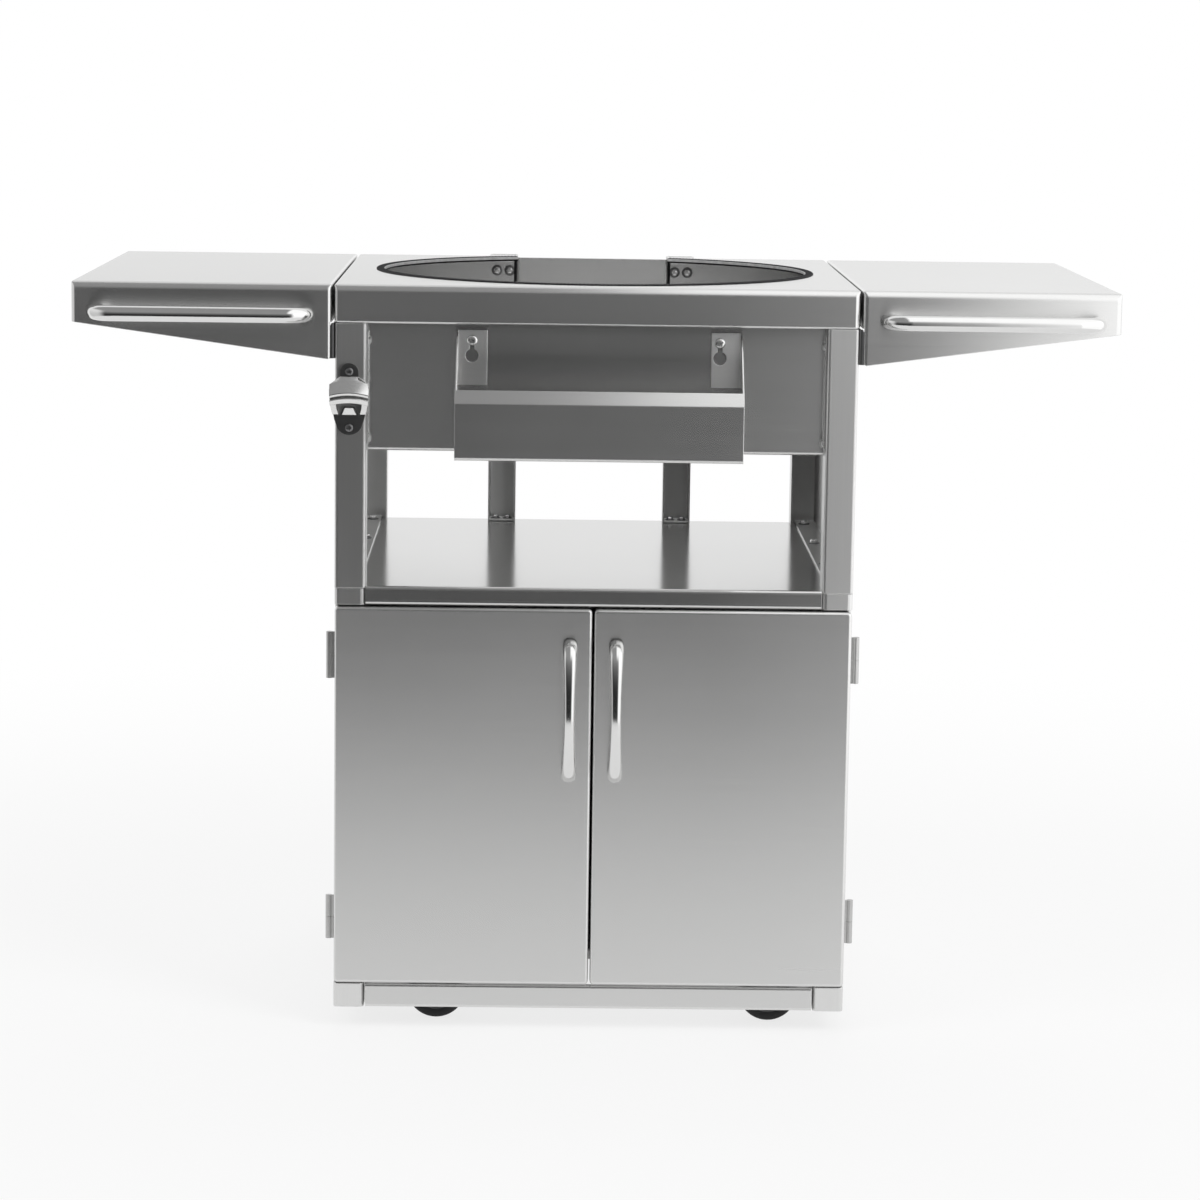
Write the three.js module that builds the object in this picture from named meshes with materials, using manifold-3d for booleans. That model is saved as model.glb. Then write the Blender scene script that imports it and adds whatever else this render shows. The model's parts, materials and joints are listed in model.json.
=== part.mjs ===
// A kamado grill table in folded stainless sheet, in millimetres, with the height along +Z.
// The front faces -Y, the origin is on the floor under the middle of the table.
// A wheeled two-door cabinet carries an open bay for the cooker, and the tabletop round it.
// Beside the tabletop hang two folding shelves with towel bars, and a rack hooks on in front.

import * as THREE from 'three';
import { mergeVertices } from 'three/addons/utils/BufferGeometryUtils.js';
import Module from 'manifold-3d';

const wasm = await Module();
wasm.setup();

// Sheets and gaps
const sheet = 2;
const shelfSheet = 3;
const doorSheet = 1.5;
const bend = 1.5;
const softBend = 4;
const seat = 0.3;
const weld = 0.6;
const runningFit = 0.08;
const overrun = 6;
const bendSteps = 3;
const pinSides = 16;

// Cut-out for the cooker, the tabletop round it, and the edge trim
const holeRadius = 274;
const holeSideMargin = 46;
const holeFrontMargin = 39;
const holeRearMargin = 23;
const holeSides = 60;
const topHeight = 930;
const skirt = 47;
const hem = 7;
const notchHalf = 103.5;
const notchSideGap = 3.5;
const notchPanelDrop = 2;
const notchPanelDepth = 5.5;
const trimWidth = 11;
const trimLap = 2;
const trimProud = 2.5;
const trimEdge = 1.4;

// Body of the table, from the base to the side walls
const bodyInset = 1;
const bodyRearReach = 35;
const bayHeight = 370;
const postWidth = 38;
const postLip = 40;
const flangeWidth = 30;
const railDrop = 24;
const railReturn = 15;
const baseBottom = 28;
const baseHeight = 30;
const cornerBlock = 20;
const cornerLap = 9;
const returnSetback = 17;
const floorLip = 14;
const floorSideLip = 15;
const baseRailGap = 1.8;
const baseRailReturn = 8;

// Aprons under the tabletop
const apronDrop = 205;
const apronSetback = 26;
const apronReturn = 16;
const apronEndLap = 16;
const apronEndInset = 10;

// Uprights behind the tabletop
const uprightLap = 1;
const uprightWidth = 38;
const uprightTab = 34;
const uprightFoot = 27;

// Rack in front of the apron, and the shoulder screws it hangs on
const rackWidth = 350;
const rackOffset = 3;
const rackDepth = 72;
const rackBelowApron = 3;
const rackFace = 69;
const rackLip = 16;
const rackLipLean = 7;
const rackBelowSkirt = 8;
const rackTopReach = 5;
const rackEar = 38;
const rackCorner = 5;
const rackStandoff = 3;
const keyholeInsetLeft = 19.3;
const keyholeInsetRight = 27.5;
const keyholeBelowRackTop = 13;
const keyholeDrop = 18.5;
const keyholeWide = 8.2;
const keyholeNarrow = 3;
const screwRadius = 2.2;
const screwHeadRadius = 6.6;
const screwHeadHeight = 2.2;
const screwLength = 9;

// Bottle opener on the left post, measured down from its top
const openerOffset = 1.3;
const openerBelowSkirt = 48.6;
const openerShoulderDrop = 23.4;
const openerHoodDrop = 25.4;
const openerHoodEdgeDrop = 49.4;
const openerToothDrop = 53.4;
const openerTongueDrop = 62.4;
const openerTall = 87.8;
const openerNeck = 11.4;
const openerHalf = 24.5;
const openerTongue = 20;
const openerTip = 9;
const openerPlate = 2.5;
const openerReach = 17;
const openerLip = 2.6;
const openerCurl = 5.6;
const openerTooth = 9;
const openerToothTip = 7.2;
const openerToothReach = 5;

// Doors, handles, hinges and catches
const doorBottomGap = 2;
const doorTopGap = 1.5;
const doorProud = 5;
const doorDepth = 20;
const doorMiddleGap = 2.2;
const doorSideInset = 0.6;
const linerFold = 12;
const hingeOut = 6.5;
const hingeSetback = 14;
const hingeBarrel = 4;
const hingePin = 2;
const hingeLeafReach = 28;
const lowerHingeInset = 53;
const lowerHingeLength = 55;
const upperHingeInset = 33.5;
const upperHingeLength = 58;
const handleX = 28.5;
const handleInset = 36.8;
const handleLength = 179;
const handleReach = 37;
const handleGrip = 10;
const handleFoot = 19;
const handleWaist = 12;
const handleEnd = 18.5;
const handleSteps = 18;
const handleNoseShare = 0.12;
const handleNoseRoundShare = 0.75;
const handleShares = [-1, -0.97, -0.93, -0.86, -0.6, -0.3, 0, 0.3, 0.6, 0.86, 0.93, 0.97, 1];
const catchHalf = 14;
const catchX = 50;
const catchDrop = 52;
const catchDepth = 18;

// Folding side shelves
const sideShelfGap = 3;
const sideShelfWidth = 316;
const sideShelfInnerDrop = 92;
const sideShelfOuterDrop = 49.5;
const sideShelfInnerFlange = 46;
const pivotInset = 8;
const pivotDrop = 84;
const pivotPin = 3;
const pivotHead = 5;
const pivotHeadHeight = 2;
const earRadius = 6.5;
const earShoulder = 2;
const towelBarRadius = 9.6;
const towelBarDrop = 36.5;
const towelBarInnerInset = 21;
const towelBarOuterInset = 19;
const towelBarReach = 30;
const towelBarElbow = 18;
const towelBarSides = 12;
const towelBarSteps = 14;

// Casters under the floor
const casterSideInset = 109;
const casterEndInset = 65;
const wheelRadius = 37.5;
const wheelHalf = 11;
const wheelSides = 22;
const tyreShoulder = 3.7;
const hubHalf = 12.5;
const hubRadius = 13;
const trail = 18;
const axleRadius = 4;
const axleHead = 6.5;
const axleHeadHeight = 2;
const forkSheet = 3;
const forkInner = 14;
const forkClearance = 7;
const forkBack = 16;
const forkSkirt = 9;
const forkEnd = 10.5;
const raceHeight = 6;
const raceRadius = 16;
const kingpin = 4;
const kingpinDrop = 5;
const casterPlateHalf = 30;
const casterPlateSheet = 3;
const casterPlateGap = 14;
const pedalPivotOut = 9;
const pedalPivotDrop = 3;
const pedalPin = 2.5;
const pedalKnuckle = 4;
const pedalReach = 21;
const pedalTipDrop = 7;
const pedalHalf = 11;
const pedalSheet = 2.5;

// Places that follow from the sizes
const topHalf = holeRadius + holeSideMargin;
const topDepth = holeFrontMargin + 2 * holeRadius + holeRearMargin;
const topRear = topDepth / 2;
const topFront = -topRear;
const holeY = topFront + holeFrontMargin + holeRadius;
const skirtBottom = topHeight - skirt;
const topUnder = topHeight - sheet;
const bodyHalf = topHalf - bodyInset;
const bodyFront = topFront + bodyInset;
const bodyRear = topRear + bodyRearReach;
const shelfHeight = topHeight - bayHeight;
const postInner = bodyHalf - postWidth;
const wallTop = skirtBottom - seat;
const wallBottom = shelfHeight - shelfSheet + seat;
const cabinetTop = shelfHeight - shelfSheet - seat;
const returnFront = bodyFront + returnSetback;
const apronFront = bodyFront + apronSetback;
const apronBottom = topHeight - apronDrop;
const betweenPosts = postInner - seat;
const insideBody = bodyHalf - sheet - seat;
const backFront = bodyRear - sheet - seat - sheet;
const uprightInner = notchHalf - uprightLap;
const forkTop = wheelRadius + wheelRadius + forkClearance;
const raceTop = forkTop + raceHeight;
const floorHeight = raceTop + casterPlateGap;
const floorUnder = floorHeight - sheet;
const footTop = baseBottom + baseHeight;
const doorBottom = footTop + doorBottomGap;
const doorTop = shelfHeight - railDrop - doorTopGap;
const doorFront = bodyFront - doorProud;
const rackLeft = rackOffset - rackWidth / 2;
const rackRight = rackOffset + rackWidth / 2;
const rackBottom = apronBottom - rackBelowApron;
const rackTop = skirtBottom - rackBelowSkirt;
const keyholeHeight = rackTop - keyholeBelowRackTop;
const keyholePlaces = [rackLeft + keyholeInsetLeft, rackRight - keyholeInsetRight];
const pivotX = topHalf + sideShelfGap + pivotInset;
const pivotHeight = topHeight - pivotDrop;
const frontReach = Math.min(apronFront - rackStandoff - rackDepth, doorFront - seat - handleReach);
const centreShift = -(frontReach + bodyRear) / 2;

// Closed outlines with round corners: each corner is [across, up, radius]
function outline(corners) {
  const count = corners.length;
  const points = [];
  corners.forEach(([x, y, radius = 0], i) => {
    if (radius === 0) {
      points.push(new THREE.Vector2(x, y));
      return;
    }
    const here = new THREE.Vector2(x, y);
    const before = new THREE.Vector2(...corners[(i + count - 1) % count].slice(0, 2)).sub(here).normalize();
    const after = new THREE.Vector2(...corners[(i + 1) % count].slice(0, 2)).sub(here).normalize();
    const half = Math.acos(before.dot(after)) / 2;
    const middle = before.clone().add(after).normalize();
    const centre = here.clone().addScaledVector(middle, radius / Math.sin(half));
    const first = here.clone().addScaledVector(before, radius / Math.tan(half)).sub(centre).angle();
    const last = here.clone().addScaledVector(after, radius / Math.tan(half)).sub(centre).angle();
    const sweep = Math.atan2(Math.sin(last - first), Math.cos(last - first));
    for (let k = 0; k <= bendSteps; k += 1) {
      const angle = first + (sweep * k) / bendSteps;
      points.push(new THREE.Vector2(Math.cos(angle), Math.sin(angle)).multiplyScalar(radius).add(centre));
    }
  });
  return new THREE.Shape(points);
}

// The edge of a folded sheet: a path along one face, with the sheet on the path's left side
function foldedEdge(path, thickness, insideRadius) {
  const face = [];
  const back = [];
  const last = path.length - 1;
  const heading = (a, b) => Math.atan2(b[1] - a[1], b[0] - a[0]);
  path.forEach((point, i) => {
    const before = i > 0 ? heading(path[i - 1], point) : heading(point, path[1]);
    if (i === 0 || i === last) {
      face.push(point);
      back.push([point[0] - Math.sin(before) * thickness, point[1] + Math.cos(before) * thickness]);
      return;
    }
    const after = heading(point, path[i + 1]);
    const turn = Math.atan2(Math.sin(after - before), Math.cos(after - before));
    const side = Math.sign(turn);
    const faceRadius = side > 0 ? insideRadius + thickness : insideRadius;
    const backRadius = side > 0 ? insideRadius : insideRadius + thickness;
    const reach = faceRadius * Math.tan(Math.abs(turn) / 2);
    const centreX = point[0] - Math.cos(before) * reach - Math.sin(before) * side * faceRadius;
    const centreY = point[1] - Math.sin(before) * reach + Math.cos(before) * side * faceRadius;
    for (let k = 0; k <= bendSteps; k += 1) {
      const angle = before + (turn * k) / bendSteps;
      const outX = Math.sin(angle) * side;
      const outY = -Math.cos(angle) * side;
      face.push([centreX + outX * faceRadius, centreY + outY * faceRadius]);
      back.push([centreX + outX * backRadius, centreY + outY * backRadius]);
    }
  });
  return outline([...face, ...back.reverse()]);
}

function circle(x, y, radius, sides) {
  const points = Array.from({ length: sides }, (_, i) => {
    const angle = (2 * Math.PI * i) / sides;
    return [x + radius * Math.cos(angle), y + radius * Math.sin(angle)];
  });
  return outline(points);
}

// Extrusions along each axis: outlines are drawn in YZ, XZ and XY
const axisX = new THREE.Vector3(1, 0, 0);
const axisY = new THREE.Vector3(0, 1, 0);
const axisZ = new THREE.Vector3(0, 0, 1);

function extruded(shape, from, to) {
  const geometry = new THREE.ExtrudeGeometry(shape, { depth: to - from, bevelEnabled: false });
  return geometry.translate(0, 0, from);
}

function alongZ(shape, from, to) {
  return extruded(shape, from, to);
}

function alongX(shape, from, to) {
  return extruded(shape, from, to).applyMatrix4(new THREE.Matrix4().makeBasis(axisY, axisZ, axisX));
}

function alongY(shape, from, to) {
  const basis = new THREE.Matrix4().makeBasis(axisX, axisZ, axisY.clone().negate());
  return extruded(shape, -to, -from).applyMatrix4(basis);
}

function block(x, y, z) {
  const geometry = new THREE.BoxGeometry(x[1] - x[0], y[1] - y[0], z[1] - z[0]);
  return geometry.translate((x[0] + x[1]) / 2, (y[0] + y[1]) / 2, (z[0] + z[1]) / 2);
}

// A revolve about the Z axis: each point is [radius, height]
function turned(profile, sides) {
  const points = profile.map(([radius, height]) => new THREE.Vector2(radius, height));
  return geometryOf(solid(new THREE.LatheGeometry(points, sides).rotateX(Math.PI / 2)));
}

// Joining and cutting
function solid(geometry) {
  const plain = new THREE.BufferGeometry();
  plain.setAttribute('position', geometry.getAttribute('position').clone());
  plain.setIndex(geometry.index);
  const merged = mergeVertices(plain);
  const corners = merged.index.array;
  const kept = [];
  for (let i = 0; i < corners.length; i += 3) {
    const [a, b, c] = corners.slice(i, i + 3);
    if (a !== b && b !== c && c !== a) kept.push(a, b, c);
  }
  const vertProperties = new Float32Array(merged.attributes.position.array);
  return new wasm.Manifold(new wasm.Mesh({ numProp: 3, vertProperties, triVerts: new Uint32Array(kept) }));
}

function geometryOf(manifold) {
  const mesh = manifold.getMesh();
  const geometry = new THREE.BufferGeometry();
  geometry.setAttribute('position', new THREE.BufferAttribute(new Float32Array(mesh.vertProperties), 3));
  geometry.setIndex(new THREE.BufferAttribute(new Uint32Array(mesh.triVerts), 1));
  geometry.computeVertexNormals();
  return geometry;
}

function join(...geometries) {
  return geometryOf(geometries.map(solid).reduce((a, b) => a.add(b)));
}

function cut(geometry, ...tools) {
  return geometryOf(tools.map(solid).reduce((a, b) => a.subtract(b), solid(geometry)));
}

function common(a, b) {
  return geometryOf(solid(a).intersect(solid(b)));
}

// The same piece on the other side of the table
function mirrored(geometry) {
  const flipped = geometryOf(solid(geometry)).scale(-1, 1, 1);
  const corners = flipped.index.array;
  for (let i = 0; i < corners.length; i += 3) {
    [corners[i], corners[i + 1]] = [corners[i + 1], corners[i]];
  }
  flipped.computeVertexNormals();
  return flipped;
}

// Materials
function finish(color, metalness, roughness) {
  return { color, metalness, roughness };
}

const finishes = {
  brushed: finish(0xb9b9b7, 0.9, 0.38),
  polished: finish(0xd4d4d2, 0.95, 0.16),
  plated: finish(0x9a9a98, 0.9, 0.42),
  trim: finish(0x232323, 0.0, 0.7),
  tyre: finish(0x1c1c1c, 0.0, 0.75),
  magnet: finish(0x2a2a2a, 0.1, 0.6),
};

const table = new THREE.Group();
table.name = 'kamado_grill_table';
table.position.set(0, centreShift, 0);

function add(group, name, geometry, surface) {
  const mesh = new THREE.Mesh(geometry, new THREE.MeshStandardMaterial(finishes[surface]));
  mesh.name = name;
  group.add(mesh);
  return mesh;
}

// A piece drawn in the table's places, hung in a group that turns or slides
function addMoving(group, name, geometry, surface) {
  const { x, y, z } = group.position;
  return add(group, name, geometry.clone().translate(-x, -y, -z), surface);
}

function movingGroup(name, x, y, z) {
  const group = new THREE.Group();
  group.name = name;
  group.position.set(x, y, z);
  table.add(group);
  return group;
}

const quarter = Math.PI / 2;

// Tabletop: one sheet with soft folded edges, a round cut-out and a notch at the rear
function softTray(drop, inset, radius, bottom) {
  const x = topHalf - inset;
  const y = topRear - inset;
  const z = topHeight - drop;
  const across = outline([[-x, bottom], [x, bottom], [x, z, radius], [-x, z, radius]]);
  const deep = outline([[-y, bottom], [y, bottom], [y, z, radius], [-y, z, radius]]);
  return common(alongY(across, -y, y), alongX(deep, -x, x));
}

function holeTool(radius, from, to) {
  return alongZ(circle(0, holeY, radius, holeSides), from, to);
}

function buildTabletop() {
  const hemTop = skirtBottom + sheet;
  const openX = topHalf - sheet - hem;
  const openY = topRear - sheet - hem;
  const gapHalf = notchHalf + notchSideGap;
  return cut(
    softTray(0, 0, softBend + sheet, skirtBottom),
    softTray(sheet, sheet, softBend, hemTop),
    block([-openX, openX], [-openY, openY], [skirtBottom - overrun, hemTop + overrun]),
    holeTool(holeRadius, topUnder - overrun, topHeight + overrun),
    block([-notchHalf, notchHalf], [holeY, topRear + overrun], [topUnder - seat, topHeight + overrun]),
    block([-gapHalf, gapHalf], [topRear - sheet - softBend, topRear + overrun], [hemTop, topUnder]),
  );
}

function buildTrim() {
  const inner = holeRadius - trimLap;
  const outer = inner + trimWidth;
  const top = topHeight + trimProud;
  const bottom = topUnder - trimProud;
  const grip = holeRadius - seat;
  const ring = turned([
    [inner, bottom + trimEdge],
    [inner + trimEdge, bottom],
    [outer, bottom],
    [outer, topUnder - seat],
    [grip, topUnder - seat],
    [grip, topHeight + seat],
    [outer, topHeight + seat],
    [outer - trimEdge, top],
    [inner + trimEdge, top],
    [inner, top - trimEdge],
    [inner, bottom + trimEdge],
  ], holeSides).rotateZ(quarter).translate(0, holeY, 0);
  return cut(ring, block([-notchHalf, notchHalf], [holeY, topRear], [bottom - overrun, top + overrun]));
}

function buildNotchPanel() {
  const rear = topRear - sheet - seat;
  const face = rear - notchPanelDepth;
  const path = [[-notchHalf, rear], [-notchHalf, face], [notchHalf, face], [notchHalf, rear]];
  return alongZ(foldedEdge(path, sheet, bend / 2), skirtBottom + sheet + seat, topHeight - notchPanelDrop);
}

// Side walls of the bay: a folded sheet with a post face in front and one behind
function buildSideWall() {
  const lip = (y, towards) => [postInner, y + towards * postLip];
  const path = [
    lip(bodyFront, 1),
    [postInner, bodyFront],
    [bodyHalf, bodyFront],
    [bodyHalf, bodyRear],
    [postInner, bodyRear],
    lip(bodyRear, -1),
  ];
  const flangeX = [bodyHalf - flangeWidth, bodyHalf - sheet + weld];
  const flangeY = [bodyFront + sheet - weld, bodyRear - sheet + weld];
  const foot = shelfHeight + seat;
  return join(
    cut(
      alongZ(foldedEdge(path, sheet, bend), wallBottom, wallTop),
      block(
        [postInner - overrun, bodyHalf - sheet],
        [bodyFront + sheet, bodyRear - sheet],
        [wallBottom - overrun, foot],
      ),
    ),
    block(flangeX, flangeY, [foot, foot + sheet]),
    block(flangeX, flangeY, [wallTop - sheet - weld, wallTop - weld]),
  );
}

// Aprons: folded panels between the posts, with ends turned along the posts' inner lips
function buildApron(path, lap) {
  const height = [apronBottom + apronEndInset, wallTop - apronEndInset];
  const ends = [-1, 1].map((side) => {
    const x = [side * betweenPosts, side * (betweenPosts - sheet)].sort((a, b) => a - b);
    return block(x, lap, height);
  });
  return join(alongX(foldedEdge(path, sheet, bend), -betweenPosts, betweenPosts), ...ends);
}

function buildFrontApron() {
  const top = topUnder - seat - sheet;
  const path = [
    [apronFront - apronReturn, top],
    [apronFront, top],
    [apronFront, apronBottom],
    [apronFront + apronReturn, apronBottom],
  ];
  const apron = buildApron(path, [apronFront - apronEndLap, apronFront + weld]);
  const screwHoles = keyholePlaces.map((x) => alongY(
    circle(x, keyholeHeight, screwRadius + seat, pinSides),
    apronFront - overrun,
    apronFront + overrun,
  ));
  return cut(apron, ...screwHoles);
}

function buildRearApron() {
  const path = [
    [topRear - apronReturn, apronBottom],
    [topRear, apronBottom],
    [topRear, wallTop],
    [topRear - apronReturn, wallTop],
  ];
  return buildApron(path, [topRear - weld, topRear + apronEndLap]);
}

// Uprights: channels open to the front, from the shelf to the tabletop's rear skirt
function buildUpright() {
  const outer = uprightInner + uprightWidth;
  const front = topRear + seat;
  const foot = shelfHeight + seat;
  const path = [[outer, front], [outer, bodyRear], [uprightInner, bodyRear], [uprightInner, front]];
  const inside = [uprightInner + sheet - weld, outer - sheet + weld];
  const webFront = bodyRear - sheet + weld;
  const tabTop = topHeight - sheet;
  return join(
    alongZ(foldedEdge(path, sheet, bend), foot, topHeight),
    block(inside, [bodyRear - uprightFoot, webFront], [foot + weld, foot + weld + sheet]),
    block(inside, [front + weld, webFront], [topHeight - sheet - weld, topHeight - weld]),
    block(inside, [front, front + sheet], [tabTop - uprightTab, tabTop]),
  );
}

// Mid shelf: the floor of the bay, its front edge folded down as a rail over the doors
function buildMidShelf() {
  const path = [
    [bodyRear - sheet - seat, shelfHeight],
    [bodyFront, shelfHeight],
    [bodyFront, shelfHeight - railDrop],
    [bodyFront + railReturn, shelfHeight - railDrop],
  ];
  const cornerNotches = [-1, 1].map((side) => {
    const x = [side * betweenPosts, side * (insideBody + overrun)].sort((a, b) => a - b);
    const y = [bodyFront - overrun, bodyFront + sheet + seat];
    return block(x, y, [shelfHeight - railDrop - overrun, shelfHeight + overrun]);
  });
  const railEnds = [-1, 1].map((side) => {
    const x = [side * betweenPosts, side * (insideBody + overrun)].sort((a, b) => a - b);
    const y = [bodyFront - overrun, bodyFront + railReturn + overrun];
    return block(x, y, [shelfHeight - railDrop - overrun, shelfHeight - shelfSheet]);
  });
  const full = alongX(foldedEdge(path, shelfSheet, bend), -insideBody, insideBody);
  return cut(full, ...cornerNotches, ...railEnds);
}

// Cabinet: folded sides with corner blocks above and below the doors, a back and a raised floor
function buildCabinetSide() {
  const main = [
    [postInner, returnFront],
    [bodyHalf, returnFront],
    [bodyHalf, bodyRear],
    [postInner, bodyRear],
  ];
  const corner = [
    [postInner, returnFront - sheet],
    [postInner, bodyFront],
    [bodyHalf, bodyFront],
    [bodyHalf, returnFront + cornerLap],
  ];
  const flangeZ = [cabinetTop - sheet - weld, cabinetTop - weld];
  const flangeX = [bodyHalf - flangeWidth, bodyHalf - sheet + weld];
  return join(
    alongZ(foldedEdge(main, sheet, bend), baseBottom, cabinetTop),
    alongZ(foldedEdge(corner, sheet, softBend), baseBottom, footTop),
    alongZ(foldedEdge(corner, sheet, softBend), cabinetTop - cornerBlock, cabinetTop),
    block(flangeX, [returnFront + sheet - weld, bodyRear - sheet + weld], flangeZ),
  );
}

function buildCabinetBack() {
  const half = insideBody - bend;
  return block([-half, half], [backFront, backFront + sheet], [baseBottom, cabinetTop - sheet - weld - seat]);
}

function buildCabinetFloor() {
  const rear = backFront - seat;
  const half = insideBody - sheet + weld;
  const path = [[rear, floorHeight], [returnFront, floorHeight], [returnFront, floorHeight - floorLip]];
  const frontNotches = [-1, 1].map((side) => {
    const x = [side * betweenPosts, side * (insideBody + overrun)].sort((a, b) => a - b);
    const y = [returnFront - overrun, returnFront + sheet + bend + seat];
    return block(x, y, [floorHeight - floorLip - overrun, floorHeight + overrun]);
  });
  const lips = [-1, 1].map((side) => {
    const x = [side * insideBody, side * (insideBody - sheet)].sort((a, b) => a - b);
    const y = [returnFront + sheet + bend + seat + weld, rear - weld];
    return block(x, y, [floorUnder + weld, floorHeight + floorSideLip]);
  });
  return join(cut(alongX(foldedEdge(path, sheet, bend), -half, half), ...frontNotches), ...lips);
}

function buildBaseRail() {
  const half = postInner - baseRailGap;
  const path = [
    [bodyFront + baseRailReturn, footTop],
    [bodyFront, footTop],
    [bodyFront, baseBottom],
    [bodyFront + baseRailReturn, baseBottom],
  ];
  const height = [baseBottom + sheet - weld, footTop - sheet + weld];
  const tabs = [-1, 1].flatMap((side) => {
    const spanX = (from, to) => [side * from, side * to].sort((a, b) => a - b);
    return [
      block(spanX(half - weld, half - weld - sheet), [bodyFront + sheet - weld, returnFront + sheet], height),
      block(spanX(postInner - seat, half - sheet), [returnFront, returnFront + sheet - weld], height),
    ];
  });
  return join(alongX(foldedEdge(path, sheet, bend), -half, half), ...tabs);
}

// Bottle opener: a keyed plate with a hood that stands out over the slot
function buildOpener() {
  const back = bodyFront - seat;
  const face = back - openerPlate;
  const tip = face - openerReach;
  const root = face + openerPlate / 2;
  const postMiddle = bodyHalf - postWidth / 2;
  const top = skirtBottom - openerBelowSkirt;
  const shoulder = top - openerShoulderDrop;
  const hoodTop = top - openerHoodDrop;
  const hoodEdge = top - openerHoodEdgeDrop;
  const toothTop = top - openerToothDrop;
  const tongue = top - openerTongueDrop;
  const bottom = top - openerTall;
  const right = [
    [openerTip, bottom, openerTip - seat],
    [openerTongue, tongue],
    [openerHalf, hoodEdge],
    [openerHalf, hoodTop],
    [openerNeck, shoulder],
    [openerNeck, top, openerNeck - seat],
  ];
  const left = right.map(([x, z, radius]) => [-x, z, radius]).reverse();
  const plate = alongY(outline([...left, ...right]), face, back);
  const hood = alongX(outline([
    [root, hoodTop],
    [root, hoodTop - openerLip],
    [tip + openerLip + openerLip, hoodEdge + openerLip + openerLip, openerCurl],
    [tip + openerLip, hoodEdge],
    [tip, hoodEdge],
    [tip, hoodEdge + openerLip + openerLip + openerLip, openerCurl],
  ]), -openerHalf, openerHalf);
  const tooth = alongY(outline([
    [-openerTooth, tongue],
    [openerTooth, tongue],
    [openerToothTip, toothTop],
    [-openerToothTip, toothTop],
  ]), face - openerToothReach, root);
  return join(plate, hood, tooth).translate(-postMiddle - openerOffset, 0, 0);
}

// Rack: an open tray with leaning lip, sloped ends and two ears with keyholes
function buildRack() {
  const back = apronFront - rackStandoff;
  const front = back - rackDepth;
  const lipFoot = rackBottom + rackFace;
  const lipTop = lipFoot + rackLip;
  const pan = alongX(foldedEdge([
    [back, rackBottom],
    [front, rackBottom],
    [front, lipFoot],
    [front + rackLipLean, lipTop],
  ].reverse(), sheet, bend), rackLeft, rackRight);
  const endShape = () => outline([
    [back, rackBottom],
    [front + bend, rackBottom],
    [front + bend, lipFoot],
    [front + rackLipLean, lipTop],
    [back - rackTopReach, rackTop, rackCorner],
    [back, rackTop],
  ]);
  const ends = [[rackLeft, rackLeft + sheet], [rackRight - sheet, rackRight]]
    .map(([from, to]) => alongX(endShape(), from, to));
  const ears = [[rackLeft, rackLeft + rackEar], [rackRight - rackEar, rackRight]]
    .map((x) => block(x, [back - sheet, back], [rackBottom, rackTop]));
  const keyholes = keyholePlaces.flatMap((x) => {
    const wide = keyholeHeight - keyholeDrop;
    const from = back - sheet - overrun;
    const to = back + overrun;
    return [
      alongY(circle(x, wide, keyholeWide, pinSides), from, to),
      alongY(circle(x, keyholeHeight, keyholeNarrow, pinSides), from, to),
      block([x - keyholeNarrow, x + keyholeNarrow], [from, to], [wide, keyholeHeight]),
    ];
  });
  return cut(join(pan, ...ends, ...ears), ...keyholes);
}

// A shoulder screw on the apron, with its head in front of the rack's ear
function buildRackScrew(x) {
  const grip = rackStandoff + sheet + seat;
  return turned([
    [0, -grip - screwLength],
    [screwRadius, -grip - screwLength],
    [screwRadius, 0],
    [screwHeadRadius, 0],
    [screwHeadRadius, screwHeadHeight],
    [0, screwHeadHeight],
  ], pinSides).rotateX(quarter).translate(x, apronFront - grip, keyholeHeight);
}

// Doors, drawn for the right side: skin, liner, handle, hinge knuckles and strike
const doorInner = doorMiddleGap / 2;
const doorOuter = bodyHalf - doorSideInset;
const doorBack = doorFront + doorDepth;

function doorBox(inset, radius, back) {
  const x = [doorInner + inset, doorOuter - inset];
  const z = [doorBottom + inset, doorTop - inset];
  const front = doorFront + inset;
  const plan = outline([[x[0], front, radius], [x[1], front, radius], [x[1], back], [x[0], back]]);
  const side = outline([[front, z[0], radius], [back, z[0]], [back, z[1]], [front, z[1], radius]]);
  return common(alongZ(plan, z[0], z[1]), alongX(side, x[0], x[1]));
}

function buildDoorSkin() {
  return cut(doorBox(0, bend + doorSheet, doorBack), doorBox(doorSheet, bend, doorBack + overrun));
}

function buildDoorLiner() {
  const inset = doorSheet + seat;
  const back = doorBack - seat;
  const x = [doorInner + inset, doorOuter - inset];
  const z = [doorBottom + inset, doorTop - inset];
  const within = ([from, to]) => [from + doorSheet, to - doorSheet];
  return cut(
    block(x, [back - linerFold, back], z),
    block(within(x), [back - linerFold - overrun, back - doorSheet], within(z)),
  );
}

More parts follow.
